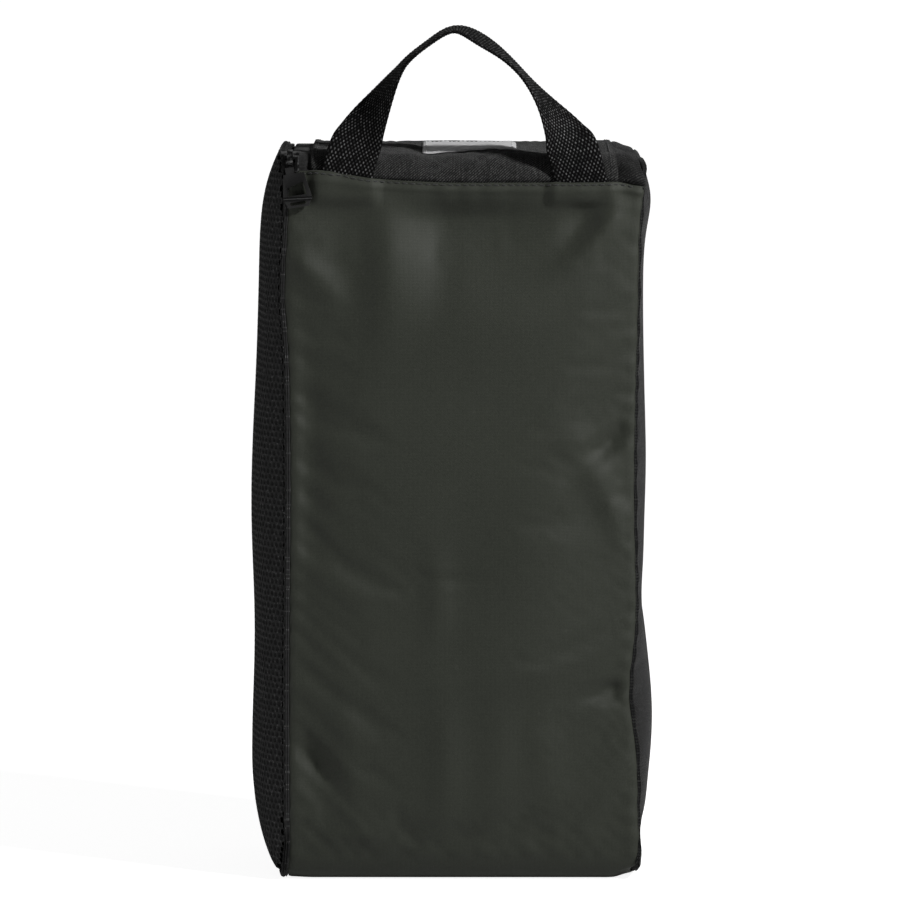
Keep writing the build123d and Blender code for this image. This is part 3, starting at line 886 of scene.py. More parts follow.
def front_base_piece():
    """The coated front, which turns under the bag and runs to the back seam."""
    hem = steps(0, 8 * MM, 0.7 * MM)
    face = steps(8 * MM, BACK_START - 4 * MM, 1.7 * MM)[1:]
    offsets = np.concatenate([hem, face])[:, None]
    x = steps(LEFT, RIGHT, 1.6 * MM)[None, :]
    start = front_seam(x)
    along = start + offsets * (BACK_START - start) / (BACK_START - 4 * MM)
    middle_x = (x[:, 1:] + x[:, :-1]) / 2
    middle_along = (along[1:, 1:] + along[:-1, :-1]) / 2
    keep = (middle_along < BASE_FLAT_START + 1 * MM) | (middle_x > ZIP_PANEL_X)
    mesh = wrap_cloth(along, x, front_lift(along, x), CLOTH, keep)
    make("front_base", "bag_body", "coated_cloth", COATED, mesh, "front_base_panel")


def back_piece():
    """The woven back, with soft waves."""
    along = steps(BACK_START + 0.4 * MM, BACK_CORNER, 2.4 * MM)[:, None]
    x = steps(ZIP_PANEL_X, RIGHT, 2.2 * MM)[None, :]
    away = np.minimum(x - ZIP_PANEL_X, RIGHT - x)
    wave = np.sin(along / (38 * MM) + x / (24 * MM)) * np.sin(x / (31 * MM) - along / (57 * MM))
    lift = 0.9 * MM * wave * ease(away, 0, 20 * MM) + roll_in(RIGHT - x, 1.3 * MM, 4 * MM)
    lift = lift + 0.25 * MM * np.sin(along / (2.3 * MM)) * bump(away, 4 * MM, 4 * MM)
    mesh = wrap_cloth(along, x, lift, CLOTH)
    make("back", "bag_body", "woven_cloth", HEATHER, mesh, "back_panel")


def top_rows(x):
    """Rows that start under the front's folded edge and run over the top to the back seam."""
    first = LOOP + front_seam(x) + 7 * MM
    share = np.concatenate([steps(0, 0.2, 0.006), steps(0.2, 1, 0.0145)[1:]])[:, None]
    return first + (BACK_CORNER + 0.5 * MM - first) * share


def tucked(along, x, lift):
    """The top cloth drops under the front's folded edge and follows it there."""
    below = along - LOOP - front_seam(x)
    hidden = np.minimum(front_lift(along - LOOP, x), 0.3 * MM) + UNDER_LAP - 0.35 * MM
    return lift + (hidden - lift) * ease(below, -2.0 * MM, -0.2 * MM)


def top_lift(along, x):
    """The woven top's shape in detail: soft folds behind the handle and seams at its sides."""
    above = LOOP + front_seam(x) - along
    share = (x - TOP_LOW.x) / (TOP_HIGH.x - TOP_LOW.x)
    folds = 0.9 * bump(share, 0.30, 0.05) - 0.8 * bump(share, 0.38, 0.04) + 0.7 * bump(share, 0.62, 0.07)
    folds = folds - 0.9 * bump(share, 0.93, 0.035) + 0.5 * np.sin(x / (9 * MM))
    lift = folds * MM * ease(above, 2 * MM, 12 * MM) * (1 - ease(above, 45 * MM, 95 * MM))
    away = np.minimum(x - TOP_LOW.x, TOP_HIGH.x - x)
    lift = lift + 0.35 * MM * bump(away, 0, 2 * MM) - 0.3 * MM * bump(away, 2.4 * MM, 0.8 * MM)
    return tucked(along, x, lift)


def top_piece():
    """The woven top between its side strips."""
    x = steps(TOP_LOW.x, TOP_HIGH.x, 1.5 * MM)[None, :]
    along = top_rows(x)
    mesh = wrap_cloth(along, x, top_lift(along, x), CLOTH)
    make("top", "bag_body", "woven_cloth", HEATHER, mesh, "top_panel")


def strip_lift(along, x):
    """The strip on the top's right is gathered: it puffs up and its outer end curls over."""
    low = TOP_HIGH.x + 0.5 * MM
    share = np.clip((x - low) / (RIGHT - low), 0, 1)
    above = LOOP + front_seam(x) - along
    puff = 1.9 * MM * np.sin(np.pi * share) ** 0.7 * bump(above, 13 * MM, 17 * MM)
    crinkle = 0.5 * MM * np.sin(above / (3.1 * MM)) * np.sin(np.pi * share)
    lift = puff + crinkle * (1 - ease(above, 20 * MM, 60 * MM)) - 0.9 * MM * bump(share, 0, 0.1)
    return tucked(along, x, lift + roll_in(RIGHT - x, 1.2 * MM, 3 * MM))


def strip_piece():
    """The gathered strip on the top's right."""
    x = steps(TOP_HIGH.x - 0.6 * MM, RIGHT, 0.9 * MM)[None, :]
    along = top_rows(x)
    mesh = wrap_cloth(along, x, strip_lift(along, x), CLOTH)
    # painted shade: the strip takes the darker copy of the heather
    make("top_strip", "bag_body", "woven_cloth", SHADED_SLUB_HEATHER, mesh, "top_side_strip")


def ribbon(name, start, end, x_low, x_high, lift, node):
    """A length of folded tape sewn inside the wrap."""
    along = steps(start, end, 3 * MM)[:, None]
    x = steps(x_low, x_high, 1.2 * MM)[None, :]
    wave = 0.12 * MM * np.sin(along / (2.9 * MM) + x / (5 * MM))
    mesh = wrap_cloth(along, x, lift + wave, 0.8 * MM)
    make(name, "bag_body", "binding_tape", BINDING, mesh, node)


def bindings():
    """The tapes that cover the seams inside."""
    half = 6 * MM
    inner_left = TAPE_HIGH.x + 1 * MM
    inner_right = RIGHT - 7 * MM
    ribbon("right_binding", 0, LOOP, RIGHT - half, RIGHT - 0.4 * MM, INSIDE, "right_seam_binding")
    ribbon("front_binding", -half, half, inner_left, inner_right, 2 * INSIDE, "front_seam_binding")
    for name, seam, node in (
        ("back_top_binding", BACK_CORNER, "back_upper_binding"),
        ("back_base_binding", BACK_START, "back_lower_binding"),
    ):
        ribbon(name, seam - half, seam + half, inner_left, inner_right, INSIDE, node)
    hinge_end = BASE_START - 4 * MM
    ribbon("door_hinge_binding", 10 * MM, hinge_end, LEFT + 0.5 * MM, LEFT + half, INSIDE, "hinge_binding")


# ---------------------------------------------------------------- the sides

HALF_DEPTH = (BACK - FRONT) / 2
MESH_BULGE = 15.0 * MM
MESH_EDGE = DOOR_TAPE_LOW.x - 0.2 * MM
MESH_CLEAR = 0.7 * MM
GUSSET_EDGE = RIGHT + 0.2 * MM


def nearness(y, z, side=0):
    """0 along a side's upright middle line and 1 on its sewn edge."""
    if side:
        z = z + shoulder(z, side) - heel(z, side)
    middle = np.clip(z, HALF_DEPTH, RIDGE_Z - HALF_DEPTH)
    level = RIDGE_Z - droop(y, RIDGE_Z)
    rise = np.where(z > middle, (z - middle) / (level - RIDGE_Z + HALF_DEPTH), (middle - z) / HALF_DEPTH)
    return np.clip((np.abs(y / HALF_DEPTH) ** 6 + np.abs(rise) ** 6) ** (1 / 6), 0, 1)


def mesh_edge(y):
    """Where the mesh is sewn: beside the front's edge, or beyond the zip everywhere else."""
    beside_front = LEFT - MESH_CLEAR
    return beside_front + (MESH_EDGE - beside_front) * ease(y, FRONT, FRONT + 16 * MM)


def mesh_x(y, z):
    """The mesh side's outer face: it bellies out between its edges."""
    edge = mesh_edge(y) + edge_shift(y, z, -1)
    bulge = MESH_BULGE + 1.6 * MM * bump(z, 0.2 * RIDGE_Z, 50 * MM)
    bulge = bulge - 3.4 * MM * ease(z, 0.6 * RIDGE_Z, 0.9 * RIDGE_Z)
    bulge = bulge + 0.7 * MM * np.sin(z / (26 * MM)) * np.sin(y / (30 * MM) + z / (60 * MM))
    return edge - bulge * (1 - nearness(y, z, -1) ** 2.6) ** 0.8


GUSSET_REACH = 2.4
GUSSET_HILLS = [(4.6, 0.94, 18), (1.6, 0.57, 30), (-1.2, 0.39, 14), (5.4, 0.21, 44), (-3.4, 0.063, 9)]


def gusset_outline(z):
    """How far out the right side reaches at each height."""
    return hills(z, GUSSET_HILLS, GUSSET_REACH) * MM


def gusset_x(y, z):
    """The right side's outer face: loose woven cloth with soft upright folds."""
    near = nearness(y, z, 1)
    edge = GUSSET_EDGE + edge_shift(y, z, 1)
    out = RIGHT + gusset_outline(z) - edge
    fold = 0.9 * np.sin(y / (9 * MM) + 1.4 * np.sin(z / (55 * MM)))
    fold = fold + 0.6 * np.sin(z / (13 * MM) - y / (21 * MM))
    pucker = 0.35 * np.sin(z / (2.4 * MM) + 2 * np.sin(z / (19 * MM))) * bump(near, 0.95, 0.06)
    return edge + out * (1 - near ** 3) ** 0.75 + (fold * (1 - near ** 4) * near ** 2 + pucker) * MM


def side_grid(rings, pitch, side):
    """Places (y, z) in rings from a side's sewn edge to its middle line."""
    along = np.linspace(0, LOOP, round(LOOP / pitch) + 1)
    place = sewn_outline(along, side)[0]
    middle = np.stack([0 * along, np.clip(place[:, 1], HALF_DEPTH, RIDGE_Z - HALF_DEPTH)], axis=-1)
    share = np.asarray(rings)[:, None, None]
    grid = middle[None] + (place - middle)[None] * share
    return grid[..., 0], grid[..., 1]


def side_sheet(rings, pitch, surface, side, thickness, inset, allowance=0.0):
    """A side panel as cloth, from rings of places; its first ring can turn in as a seam allowance."""
    y, z = side_grid(rings, pitch, side)
    x = surface(y, z) - side * inset
    if allowance:
        x[0] = x[1] - side * allowance
    outer = np.stack([x, y, z], axis=-1)
    normals = np.broadcast_to(np.array([side, 0.0, 0.0]), outer.shape)
    keep = np.ones((y.shape[0] - 1, y.shape[1] - 1), bool)
    uv = np.stack([y / MM, z / MM], axis=-1)
    return cloth_faces(outer, normals, thickness, keep, uv)


def gusset_piece():
    """The woven right side."""
    rings = np.concatenate([[0.955, 0.990], np.linspace(0.982, 0.9, 7), np.linspace(0.88, -0.01, 24)])
    mesh = side_sheet(rings, 2.6 * MM, gusset_x, 1, CLOTH, 0, allowance=2.2 * MM)
    # painted shade: the right side takes the darker copy of the heather
    make("right_side", "bag_body", "woven_cloth", SHADED_SLUB_HEATHER, mesh, "right_gusset")


HOLE_Y = 3.4 * MM
HOLE_Z = 3.0 * MM
HOLE_DEPTH = 1.6 * MM


def mesh_holes():
    """The spacer mesh's outer knit: staggered round wells, eight points to each."""
    points = []
    uvs = []
    faces = []
    wells = []
    shared = {}
    depths = np.linspace(0, HALF_DEPTH, 300)
    profile = np.column_stack([depths, mesh_x(-depths, 0 * depths + RIDGE_Z / 2)])
    run = run_length(profile)

    def vertex(over, z, lift):
        """A new point, over being the distance round the bulge from the middle line."""
        y = math.copysign(np.interp(abs(over), run, depths), over)
        points.append((y, z, lift))
        uvs.append((over / MM, z / MM))
        return len(points) - 1

    def corner(a, b):
        """The point between wells, made once and shared by its neighbours."""
        if (a, b) not in shared:
            rise = -0.1 * MM + 0.25 * MM * math.sin(5 * a + 3 * b)
            shared[a, b] = vertex(a * HOLE_Y / 2, b * HOLE_Z / 2, rise)
        return shared[a, b]

    around = [(1, 0), (1, 1), (0, 1), (-1, 1), (-1, 0), (-1, -1), (0, -1), (1, -1)]
    turns = [math.atan2(b * HOLE_Z, a * HOLE_Y) for a, b in around]
    columns = int(run[-1] / HOLE_Y)
    for row in range(1, int(RIDGE_Z / HOLE_Z)):
        for column in range(-columns, columns + 1):
            a = 2 * column + row % 2
            b = 2 * row
            y, z = a * HOLE_Y / 2, b * HOLE_Z / 2
            end = math.copysign(np.interp(abs(y) + HOLE_Y / 2, run, depths), y)
            high, low = nearness(np.array([end, end]), z + np.array([0.5, -0.5]) * HOLE_Z, -1)
            if max(high, low) > 0.995:
                continue
            rim = [corner(a + da, b + db) for da, db in around]
            loops = []
            sway = 0.16 * MM * math.sin(2.1 * a + 0.9 * b)
            grow = 1 + 0.08 * math.sin(1.3 * a + 2.7 * b)
            for size, lift in ((0.37, 0.06), (0.29, -1.0)):
                loops.append([
                    vertex(y + size * grow * HOLE_Y * math.cos(t),
                           z + sway + size * grow * HOLE_Z * 1.12 * math.sin(t), lift * HOLE_DEPTH)
                    for t in turns
                ])
            for outer, inner in zip([rim] + loops[:-1], loops):
                for k in range(8):
                    n = (k + 1) % 8
                    faces.append((outer[k], outer[n], inner[n], inner[k]))
            faces.append(tuple(loops[-1]))
            wells += range(len(faces) - 9, len(faces))
    points = np.array(points)
    x = mesh_x(points[:, 0], points[:, 1]) - points[:, 2]
    return (np.column_stack([x, points[:, 0], points[:, 1]]), faces, np.array(uvs)), wells


def mesh_piece():
    """The mesh side: the knit with its wells, a dense hem round it and a fine knit behind."""
    holes, wells = mesh_holes()
    hem_rings = [0.955, 0.998, 0.99, 0.98, 0.968]
    hem = side_sheet(hem_rings, 2.6 * MM, mesh_x, -1, 0.9 * MM, 0.55 * MM, allowance=2 * MM)
    rings = np.concatenate([[0.99, 0.96, 0.92], np.linspace(0.86, -0.01, 14)])
    back = side_sheet(rings, 5 * MM, mesh_x, -1, 0.4 * MM, HOLE_DEPTH + 0.25 * MM)
    piece = finish_mesh("mesh_side", *join_parts([holes, hem, back]), MESH_YARN)
    # painted shade: the walls and floors of the wells take the near-black mesh material
    piece.data.materials.append(MESH_WELL_SHADE)
    finish = np.zeros(len(piece.data.polygons), int)
    finish[wells] = 1
    piece.data.polygons.foreach_set("material_index", finish)
    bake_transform(piece)
    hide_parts("mesh_panel")


def edge_path(start, end, pitch, x, lift):
    """A line along the side outline at x, lifted outwards, that follows the wandering left seam."""
    along = steps(start, end, pitch)
    place, facing = sewn_outline(along, -1)
    y = place[:, 0] + facing[:, 0] * lift
    z = place[:, 1] + facing[:, 1] * lift
    return along, np.stack([x + edge_shift(place[:, 0], place[:, 1], -1), y, z], axis=-1), facing


def edge_band(start, end, x_low, x_high, lift, thickness):
    """A flat tape along the left edge of the wrap."""
    grid = []
    normals = []
    uv = []
    for x in steps(x_low, x_high, 0.9 * MM):
        along, path, facing = edge_path(start, end, 2.2 * MM, x, lift)
        grid.append(path)
        normals.append(np.column_stack([0 * along, facing]))
        uv.append(np.column_stack([np.full(len(along), x / MM), along / MM]))
    keep = np.ones((len(grid) - 1, len(along) - 1), bool)
    return cloth_faces(np.array(grid), np.array(normals), thickness, keep, np.array(uv))


ZIP_END = BASE_FLAT_START + 1.5 * MM
ZIP_START = LOOP - TOP_R * math.radians(8)
PARKED = math.radians(35)
BEHIND_SLIDER = LOOP - TOP_R * (PARKED + math.radians(22))


def coil_faces(start, end, x_low, x_high, inset):
    """A zip coil: a flattened helix along the chain."""
    pitch = 1.4 * MM
    count = int((end - start) / pitch)
    turn = np.arange(count * 8 + 1) * math.pi / 4
    along = start + turn / (2 * math.pi) * pitch
    place, facing = sewn_outline(along, -1)
    middle = (x_low + x_high) / 2
    half = (x_high - x_low) / 2 - 0.3 * MM
    lift = -inset - 1.0 * MM + 0.65 * MM * np.sin(turn)
    x = middle + half * np.cos(turn) + edge_shift(place[:, 0], place[:, 1], -1)
    y = place[:, 0] + facing[:, 0] * lift
    z = place[:, 1] + facing[:, 1] * lift
    return tube_faces(np.stack([x, y, z], axis=-1), 0.33 * MM, sides=5)


def zip_pieces():
    """Both halves of the zip: a tape and a coil on the bag, and the same on the door."""
    body_low = TAPE_LOW.x
    tape = edge_band(ZIP_END, ZIP_START, body_low, TAPE_HIGH.x, INSIDE, TAPE)
    make("body_zip_tape", "bag_body", "zip_tape", ZIP_TAPE, tape, "zip_tape_body")
    coil_inset = -INSIDE + TAPE + 0.1 * MM
    coil_width = 2.8 * MM
    coil_end = LOOP - TOP_R * math.radians(18)
    coil = coil_faces(ZIP_END + 5 * MM, coil_end, body_low, body_low + coil_width, coil_inset)
    make("body_zip_coil", "bag_body", "zip_coil", NYLON, coil, "zip_coil_body")
    door_high = DOOR_TAPE_HIGH.x
    door_tape = edge_band(ZIP_END, BEHIND_SLIDER, DOOR_TAPE_LOW.x, door_high, INSIDE, TAPE)
    make("door_zip_tape", "mesh_door", "zip_tape", ZIP_TAPE, door_tape, "zip_tape_door")
    door_coil = coil_faces(ZIP_END, BEHIND_SLIDER, door_high - coil_width, door_high, coil_inset)
    make("door_zip_coil", "mesh_door", "zip_coil", NYLON, door_coil, "zip_coil_door")


def door_edge_piece():
    """The rolled tape that binds the mesh door's edge."""
    along, path, facing = edge_path(0, LOOP, 2.6 * MM, 0, -0.9 * MM)
    path[:, 0] += mesh_edge(path[:, 1]) - 0.2 * MM
    on_front = 1 - ease(path[:, 1], FRONT + 1.5 * MM, FRONT + 7 * MM)
    path[:, 1] += 0.8 * MM * on_front
    guide = np.column_stack([0 * along, facing])[:-1]
    thick = 1.05 * MM + 0.08 * MM * np.sin(along[:-1] / (2.2 * MM)) - 0.55 * MM * on_front[:-1]
    roll = tube_faces(path[:-1], thick, sides=8, closed=True, flat=0.85, up=guide)
    make("door_edge_binding", "mesh_door", "binding_tape", BINDING, roll, "door_binding")


# ---------------------------------------------------------------- the handle

def clamped_spline(points, first, last, count):
    """A smooth curve through points with set end directions, sampled evenly in its parameter."""
    points = np.asarray(points, float)
    gaps = np.linalg.norm(np.diff(points, axis=0), axis=1)
    knots = run_length(points)
    size = len(points)
    system = np.zeros((size, size))
    wanted = np.zeros((size, points.shape[1]))
    system[0, 0] = system[-1, -1] = 1
    wanted[0], wanted[-1] = first, last
    for i in range(1, size - 1):
        before, after = gaps[i - 1], gaps[i]
        system[i, i - 1:i + 2] = after, 2 * (before + after), before
        rise = (points[i] - points[i - 1]) / before * after + (points[i + 1] - points[i]) / after * before
        wanted[i] = 3 * rise
    slopes = np.linalg.solve(system, wanted)
    where = np.linspace(0, knots[-1], count)
    part = np.clip(np.searchsorted(knots, where, side="right") - 1, 0, size - 2)
    share = ((where - knots[part]) / gaps[part])[:, None]
    square, cube = share ** 2, share ** 3
    gap = gaps[part][:, None]
    return (
        (2 * cube - 3 * square + 1) * points[part] + (cube - 2 * square + share) * gap * slopes[part]
        + (3 * square - 2 * cube) * points[part + 1] + (cube - square) * gap * slopes[part + 1]
    )


BEND_X = 54 * MM
BEND_Z = JOINTS["handle_fold"]["pos_m"][2]
HANDLE_RISE = 61 * MM
WEB_Y = FRONT - 0.2 * MM - WEB_THICKNESS / 2
HANDLE_LEAN = math.radians(12)
HANDLE_POINTS = 400
HANDLE_SPLAY = 0.33
# The arch as shares of BEND_X across and HANDLE_RISE up
HANDLE_BENDS = [
    (-1, 0), (-0.73, 0.49), (-0.50, 0.775), (-0.29, 0.925), (-0.07, 1.02),
    (0.14, 0.945), (0.38, 0.79), (0.66, 0.52), (1, 0),
]
FOOT_END_Z = 337 * MM
SMOOTHING = 9


def handle_frame():
    """The handle's middle line, with its across and outward directions."""
    up = np.array([0, math.sin(HANDLE_LEAN), math.cos(HANDLE_LEAN)])
    forwards = np.array([0, -math.cos(HANDLE_LEAN), math.sin(HANDLE_LEAN)])
    right = np.array([1.0, 0, 0])
    slope = math.hypot(HANDLE_SPLAY, 1)
    plan = clamped_spline(
        [(x * BEND_X, z * HANDLE_RISE) for x, z in HANDLE_BENDS],
        np.array([HANDLE_SPLAY, 1]) / slope, np.array([HANDLE_SPLAY, -1]) / slope, HANDLE_POINTS,
    )
    share = np.linspace(0, 1, HANDLE_POINTS)
    ahead = np.gradient(plan, axis=0)
    ahead /= np.linalg.norm(ahead, axis=1, keepdims=True)
    start = np.array([0, WEB_Y, BEND_Z + 1 * MM])
    path = start + plan[:, :1] * right + plan[:, 1:] * up
    outwards = ahead[:, :1] * up - ahead[:, 1:] * right
    twist = 77 - 9 * bump(share, 0.56, 0.09)
    left_turn = 1 - (1 - np.clip(share / 0.30, 0, 1)) ** 1.35
    right_turn = 1 - (1 - np.clip((1 - share) / 0.29, 0, 1)) ** 1.9
    turn = np.radians(twist * np.where(share < 0.5, left_turn, right_turn))[:, None]
    across = outwards * np.cos(turn) - forwards * np.sin(turn)
    held = ease(np.minimum(share, 1 - share), 0, 0.08)[:, None]
    level = np.where(share[:, None] < 0.5, -right, right)
    across = across * held + level * (1 - held)
    return path, across


def foot_frame(side):
    """A handle end, from under the front's edge up to the bend."""
    count = 24
    drop = np.linspace(0, 1, count)
    z = FOOT_END_Z + (BEND_Z + 0.6 * MM - FOOT_END_Z) * drop
    x = side * (FOOT_X + (BEND_X - FOOT_X) * drop + 1.0 * MM * (1 - drop))
    y = np.full(count, WEB_Y) + 1.1 * MM * (1 - ease(z, 340 * MM, 350 * MM))
    across = np.tile(np.array([side * 1.0, 0, 0]), (count, 1))
    return np.stack([x, y, z], axis=-1), across


def handle_piece():
    """One length of webbing: both ends under the front's edge, legs that turn, and the grip."""
    arch, arch_across = handle_frame()
    left, left_across = foot_frame(-1)
    right, right_across = foot_frame(1)
    path = np.vstack([left, arch, right[::-1]])
    across = np.vstack([left_across, arch_across, right_across[::-1]])
    run = run_length(path)
    spots = steps(0, run[-1], 0.44 * MM)
    path = np.column_stack([np.interp(spots, run, path[:, k]) for k in range(3)])
    across = np.column_stack([np.interp(spots, run, across[:, k]) for k in range(3)])
    smooth = np.ones(SMOOTHING) / SMOOTHING
    ends = SMOOTHING // 2
    for axis in range(3):
        padded = np.pad(path[:, axis], ends, mode="reflect", reflect_type="odd")
        path[:, axis] = np.convolve(padded, smooth, mode="valid")
        padded = np.pad(across[:, axis], ends, mode="edge")
        across[:, axis] = np.convolve(padded, smooth, mode="valid")
    ahead = np.gradient(path, axis=0)
    ahead /= np.linalg.norm(ahead, axis=1, keepdims=True)
    across -= ahead * np.sum(across * ahead, axis=1, keepdims=True)
    across /= np.linalg.norm(across, axis=1, keepdims=True)
    facing = np.cross(across, ahead)
    columns = 66
    share = np.linspace(-1, 1, columns)
    flat = share * WEB_WIDTH / 2
    edge = np.sqrt(np.clip(1 - np.abs(share) ** 16, 0, 1))
    u = np.concatenate([flat, flat[::-1]])
    face = np.concatenate([edge, -edge[::-1]])
    wave_u = np.sin(2 * math.pi * u / (WEBBING_PITCH_U * MM))
    wave_v = np.sin(2 * math.pi * spots / (WEBBING_PITCH_V * MM))
    bumps = np.maximum(wave_u[None, :] * wave_v[:, None], 0) ** 0.8
    lift = face[None, :] * (WEB_THICKNESS / 2 - 0.22 * MM + 0.34 * MM * bumps)
    verts = path[:, None] + across[:, None] * u[None, :, None] + facing[:, None] * lift[..., None]
    rows, ring = verts.shape[:2]
    index = np.arange(rows * ring).reshape(rows, ring)
    following = np.roll(index, -1, axis=1)
    quads = np.stack([index[:-1], following[:-1], following[1:], index[1:]], axis=-1).reshape(-1, 4)
    faces = [tuple(quad) for quad in quads] + [tuple(index[0][::-1]), tuple(index[-1])]
    uv = np.stack(np.broadcast_arrays(u[None, :] / MM, spots[:, None] / MM), axis=-1).reshape(-1, 2)
    piece = finish_mesh("webbing_handle", verts.reshape(-1, 3), faces, uv, WEBBING)
    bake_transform(piece)
    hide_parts("handle_feet", "handle_webbing")


# ---------------------------------------------------------------- stitching, patch and label

# Stitches as pitch, length and thread radius
HEM_THREAD = (3.7 * MM, 2.6 * MM, 0.32 * MM)
PANEL_THREAD = (3.2 * MM, 2.3 * MM, 0.26 * MM)
PATCH_THREAD = (2.2 * MM, 1.5 * MM, 0.2 * MM)
SEAM_TO_STITCH = 2.4 * MM


def stitch_line(along, x, lift, thread):
    """Stitches along a line on the wrap."""
    places, facings = on_wrap(along, x, lift)
    return stitch_row(places, facings, *thread)


def hem_stitches():
    """The thread row under the front's top edge."""
    x = steps(LEFT + 5 * MM, RIGHT - 5 * MM, 2 * MM)
    along = front_seam(x) + HEM_STITCH
    mesh = join_parts(stitch_line(along, x, front_lift(along, x) + 0.12 * MM, HEM_THREAD))
    make("hem_stitches", "bag_body", "thread", OLIVE_THREAD, mesh, "front_topstitch")


def top_stitches():
    """The thread rows beside the top's two seams and down the back beside the zip."""
    parts = []
    for x_at in (TOP_LOW.x + SEAM_TO_STITCH, TOP_HIGH.x - SEAM_TO_STITCH):
        along = steps(LOOP - 4 * MM, BACK_CORNER + 4 * MM, 3 * MM)
        x = np.full(along.shape, x_at)
        parts += stitch_line(along, x, top_lift(along, x) + 0.1 * MM, PANEL_THREAD)
    along = steps(BACK_START + 4 * MM, BACK_CORNER - 3 * MM, 3 * MM)
    x = np.full(along.shape, ZIP_PANEL_X + SEAM_TO_STITCH)
    parts += stitch_line(along, x, 0.1 * MM, PANEL_THREAD)
    make("panel_stitches", "bag_body", "thread", BLACK_THREAD, join_parts(parts))


def patch_piece():
    """A plain pale patch, sewn round its edge."""
    low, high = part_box("blank_patch")
    first = TOP_START + (BACK - TOP_R - high.y)
    last = TOP_START + (BACK - TOP_R - low.y)
    along = steps(first, last, 1.6 * MM)[:, None]
    x = steps(low.x, high.x, 1.6 * MM)[None, :]
    lift = top_lift(along, x) + 0.85 * MM
    patch = wrap_cloth(along, x, lift, 0.7 * MM)
    make("pale_patch", "bag_body", "label_cloth", LABEL, patch, "blank_patch")
    margin = 1.8 * MM
    back_to_front = steps(first + margin, last - margin, 2 * MM)
    left_to_right = steps(low.x + margin, high.x - margin, 2 * MM)
    sides = [
        (back_to_front, low.x + margin), (back_to_front, high.x - margin),
        (first + margin, left_to_right), (last - margin, left_to_right),
    ]
    parts = []
    for run, across in sides:
        run, across = (np.array(a) for a in np.broadcast_arrays(np.asarray(run, float), across))
        parts += stitch_line(run, across, top_lift(run, across) + 0.9 * MM, PATCH_THREAD)
    make("patch_stitches", "bag_body", "label_cloth", LABEL, join_parts(parts))


def label_piece():
    """A blank label sewn in at the back, whose free end curls."""
    low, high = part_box("care_label")
    first = BACK_START + (low.z - BASE_R)
    along = steps(first, first + high.z - low.z, 1.5 * MM)[:, None]
    x = steps(low.x, high.x, 1.5 * MM)[None, :]
    curl = 3.5 * MM * ((high.x - x) / (high.x - low.x)) ** 2
    wave = 0.5 * MM * np.sin(along / (7 * MM))
    mesh = wrap_cloth(along, x, INSIDE - 0.9 * MM - curl - wave, 0.35 * MM)
    make("care_tag", "bag_body", "label_cloth", LABEL, mesh, "care_label")


# ---------------------------------------------------------------- the slider and its pull

def soften(node, material, width):
    """Gives a CAD piece a finish and takes the sharpness off its edges."""
    piece = frame["nodes"][node]
    piece.data.materials.clear()
    piece.data.materials.append(material)
    bevel = piece.modifiers.new("edges", "BEVEL")
    bevel.width = width
    bevel.segments = 3
    bevel.limit_method = "ANGLE"
    bevel.angle_limit = math.radians(35)


def slider_and_pull():
    """The CAD pieces that are shown as they are: their finish, and how far their edges are eased."""
    for node, material, ease_mm, slot_name in (
        ("slider_body", ZINC, 0.3, "slider_metal"),
        ("slider_bail", ZINC, 0.35, "slider_metal"),
        ("pull_link", ZINC, 0.3, "slider_metal"),
        ("pull_tab", PLASTIC, 0.45, "pull_plastic"),
        ("pull_crossbar", WIRE, 0.15, "slider_metal"),
        ("zip_top_stop", ZINC, 0.25, "slider_metal"),
        ("zip_bottom_stop", ZINC, 0.25, "slider_metal"),
    ):
        soften(node, material, ease_mm * MM)


# ---------------------------------------------------------------- floor, light and camera

def seen_directly(tree, unseen, seen):
    """One value for what the camera looks at, and another for the light it gives to things."""
    path = tree.nodes.new("ShaderNodeLightPath")
    choose = tree.nodes.new("ShaderNodeMapRange")
    tree.links.new(path.outputs["Is Camera Ray"], choose.inputs[0])
    choose.inputs[3].default_value = unseen
    choose.inputs[4].default_value = seen
    return choose.outputs[0]


def pale_floor():
    """Matt white card, evenly lit so that only soft shadows show on it."""
    s = Shader("pale_floor")
    glow = seen_directly(s.tree, 0.0, 0.9)
    return s.finish(
        Base_Color=grey(0.75), Roughness=0.95, Specular_IOR_Level=0.0,
        Emission_Color=(1, 1, 1, 1), Emission_Strength=glow,
    )


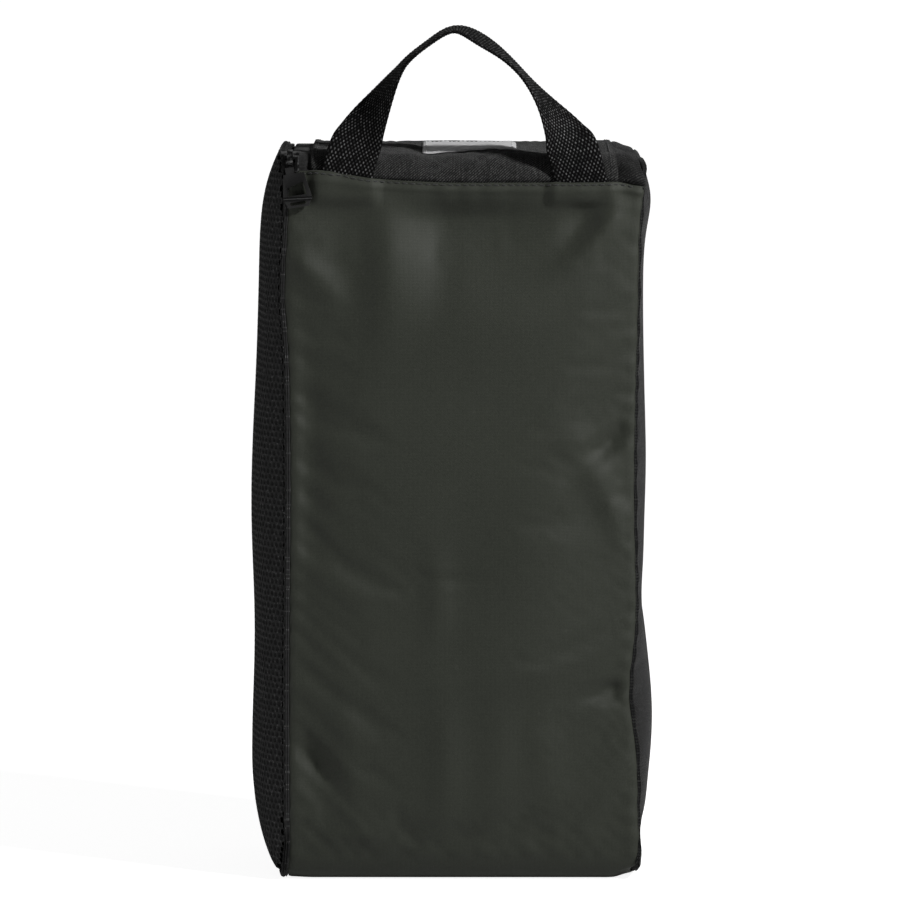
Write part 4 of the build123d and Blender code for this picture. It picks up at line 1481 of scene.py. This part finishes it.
def floor():
    """A pale floor that curves up into a backdrop."""
    depth = 3.0
    height = 4.0
    bend = 0.8
    half = 5.0
    turns = np.linspace(0, math.pi / 2, 13)
    profile = [(-4.0, 0.0)]
    profile += [(depth + bend * math.sin(t), bend - bend * math.cos(t)) for t in turns]
    profile.append((depth + bend, height))
    verts = [(x, y, z - 0.0002) for y, z in profile for x in (-half, half)]
    faces = [(2 * i, 2 * i + 1, 2 * i + 3, 2 * i + 2) for i in range(len(profile) - 1)]
    sweep = finish_mesh("floor", verts, faces, None, pale_floor())


def area_light(name, place, aim, size, power):
    """A soft rectangular lamp at place, turned towards aim."""
    light = bpy.data.lights.new(name, "AREA")
    light.shape = "RECTANGLE"
    light.size, light.size_y = size
    light.energy = power
    lamp = bpy.data.objects.new(name, light)
    lamp.location = place
    lamp.rotation_euler = (Vector(aim) - Vector(place)).to_track_quat("-Z", "Y").to_euler()
    bpy.context.scene.collection.objects.link(lamp)


AMBIENT = 0.08


def studio():
    """A key lamp on the right, a fill on the left, and a world that looks white and lights little."""
    world = bpy.data.worlds.new("studio")
    world.use_nodes = True
    tree = world.node_tree
    background = tree.nodes["Background"]
    background.inputs[0].default_value = (1, 1, 1, 1)
    tree.links.new(seen_directly(tree, AMBIENT, 1.0), background.inputs[1])
    bpy.context.scene.world = world
    area_light("key", (1.35, -1.05, 1.35), (0, 0, 0.25), (0.22, 0.22), 40)
    area_light("left_fill", (-1.9, -0.6, 0.25), (0, 0, 0.2), (0.9, 0.9), 8)
    bpy.context.scene.view_settings.view_transform = "Standard"
    bpy.context.scene.view_settings.look = "None"


def camera():
    """The camera: straight in front, a little above, with a long lens."""
    lens = bpy.data.cameras.new("camera")
    lens.lens = 240
    lens.sensor_width = 36
    eye = bpy.data.objects.new("camera", lens)
    elevation = math.radians(5)
    distance = 2.98
    aim = Vector((-6.5 * MM, 0, 206.5 * MM))
    away = Vector((0, -math.cos(elevation), math.sin(elevation)))
    eye.location = aim + away * distance
    eye.rotation_euler = (-away).to_track_quat("-Z", "Y").to_euler()
    bpy.context.scene.collection.objects.link(eye)
    bpy.context.scene.camera = eye


def build():
    """Every piece of the bag, in a fixed order."""
    front_base_piece()
    back_piece()
    top_piece()
    strip_piece()
    bindings()
    gusset_piece()
    mesh_piece()
    zip_pieces()
    door_edge_piece()
    handle_piece()
    hem_stitches()
    top_stitches()
    patch_piece()
    label_piece()
    slider_and_pull()


build()
floor()
studio()
camera()
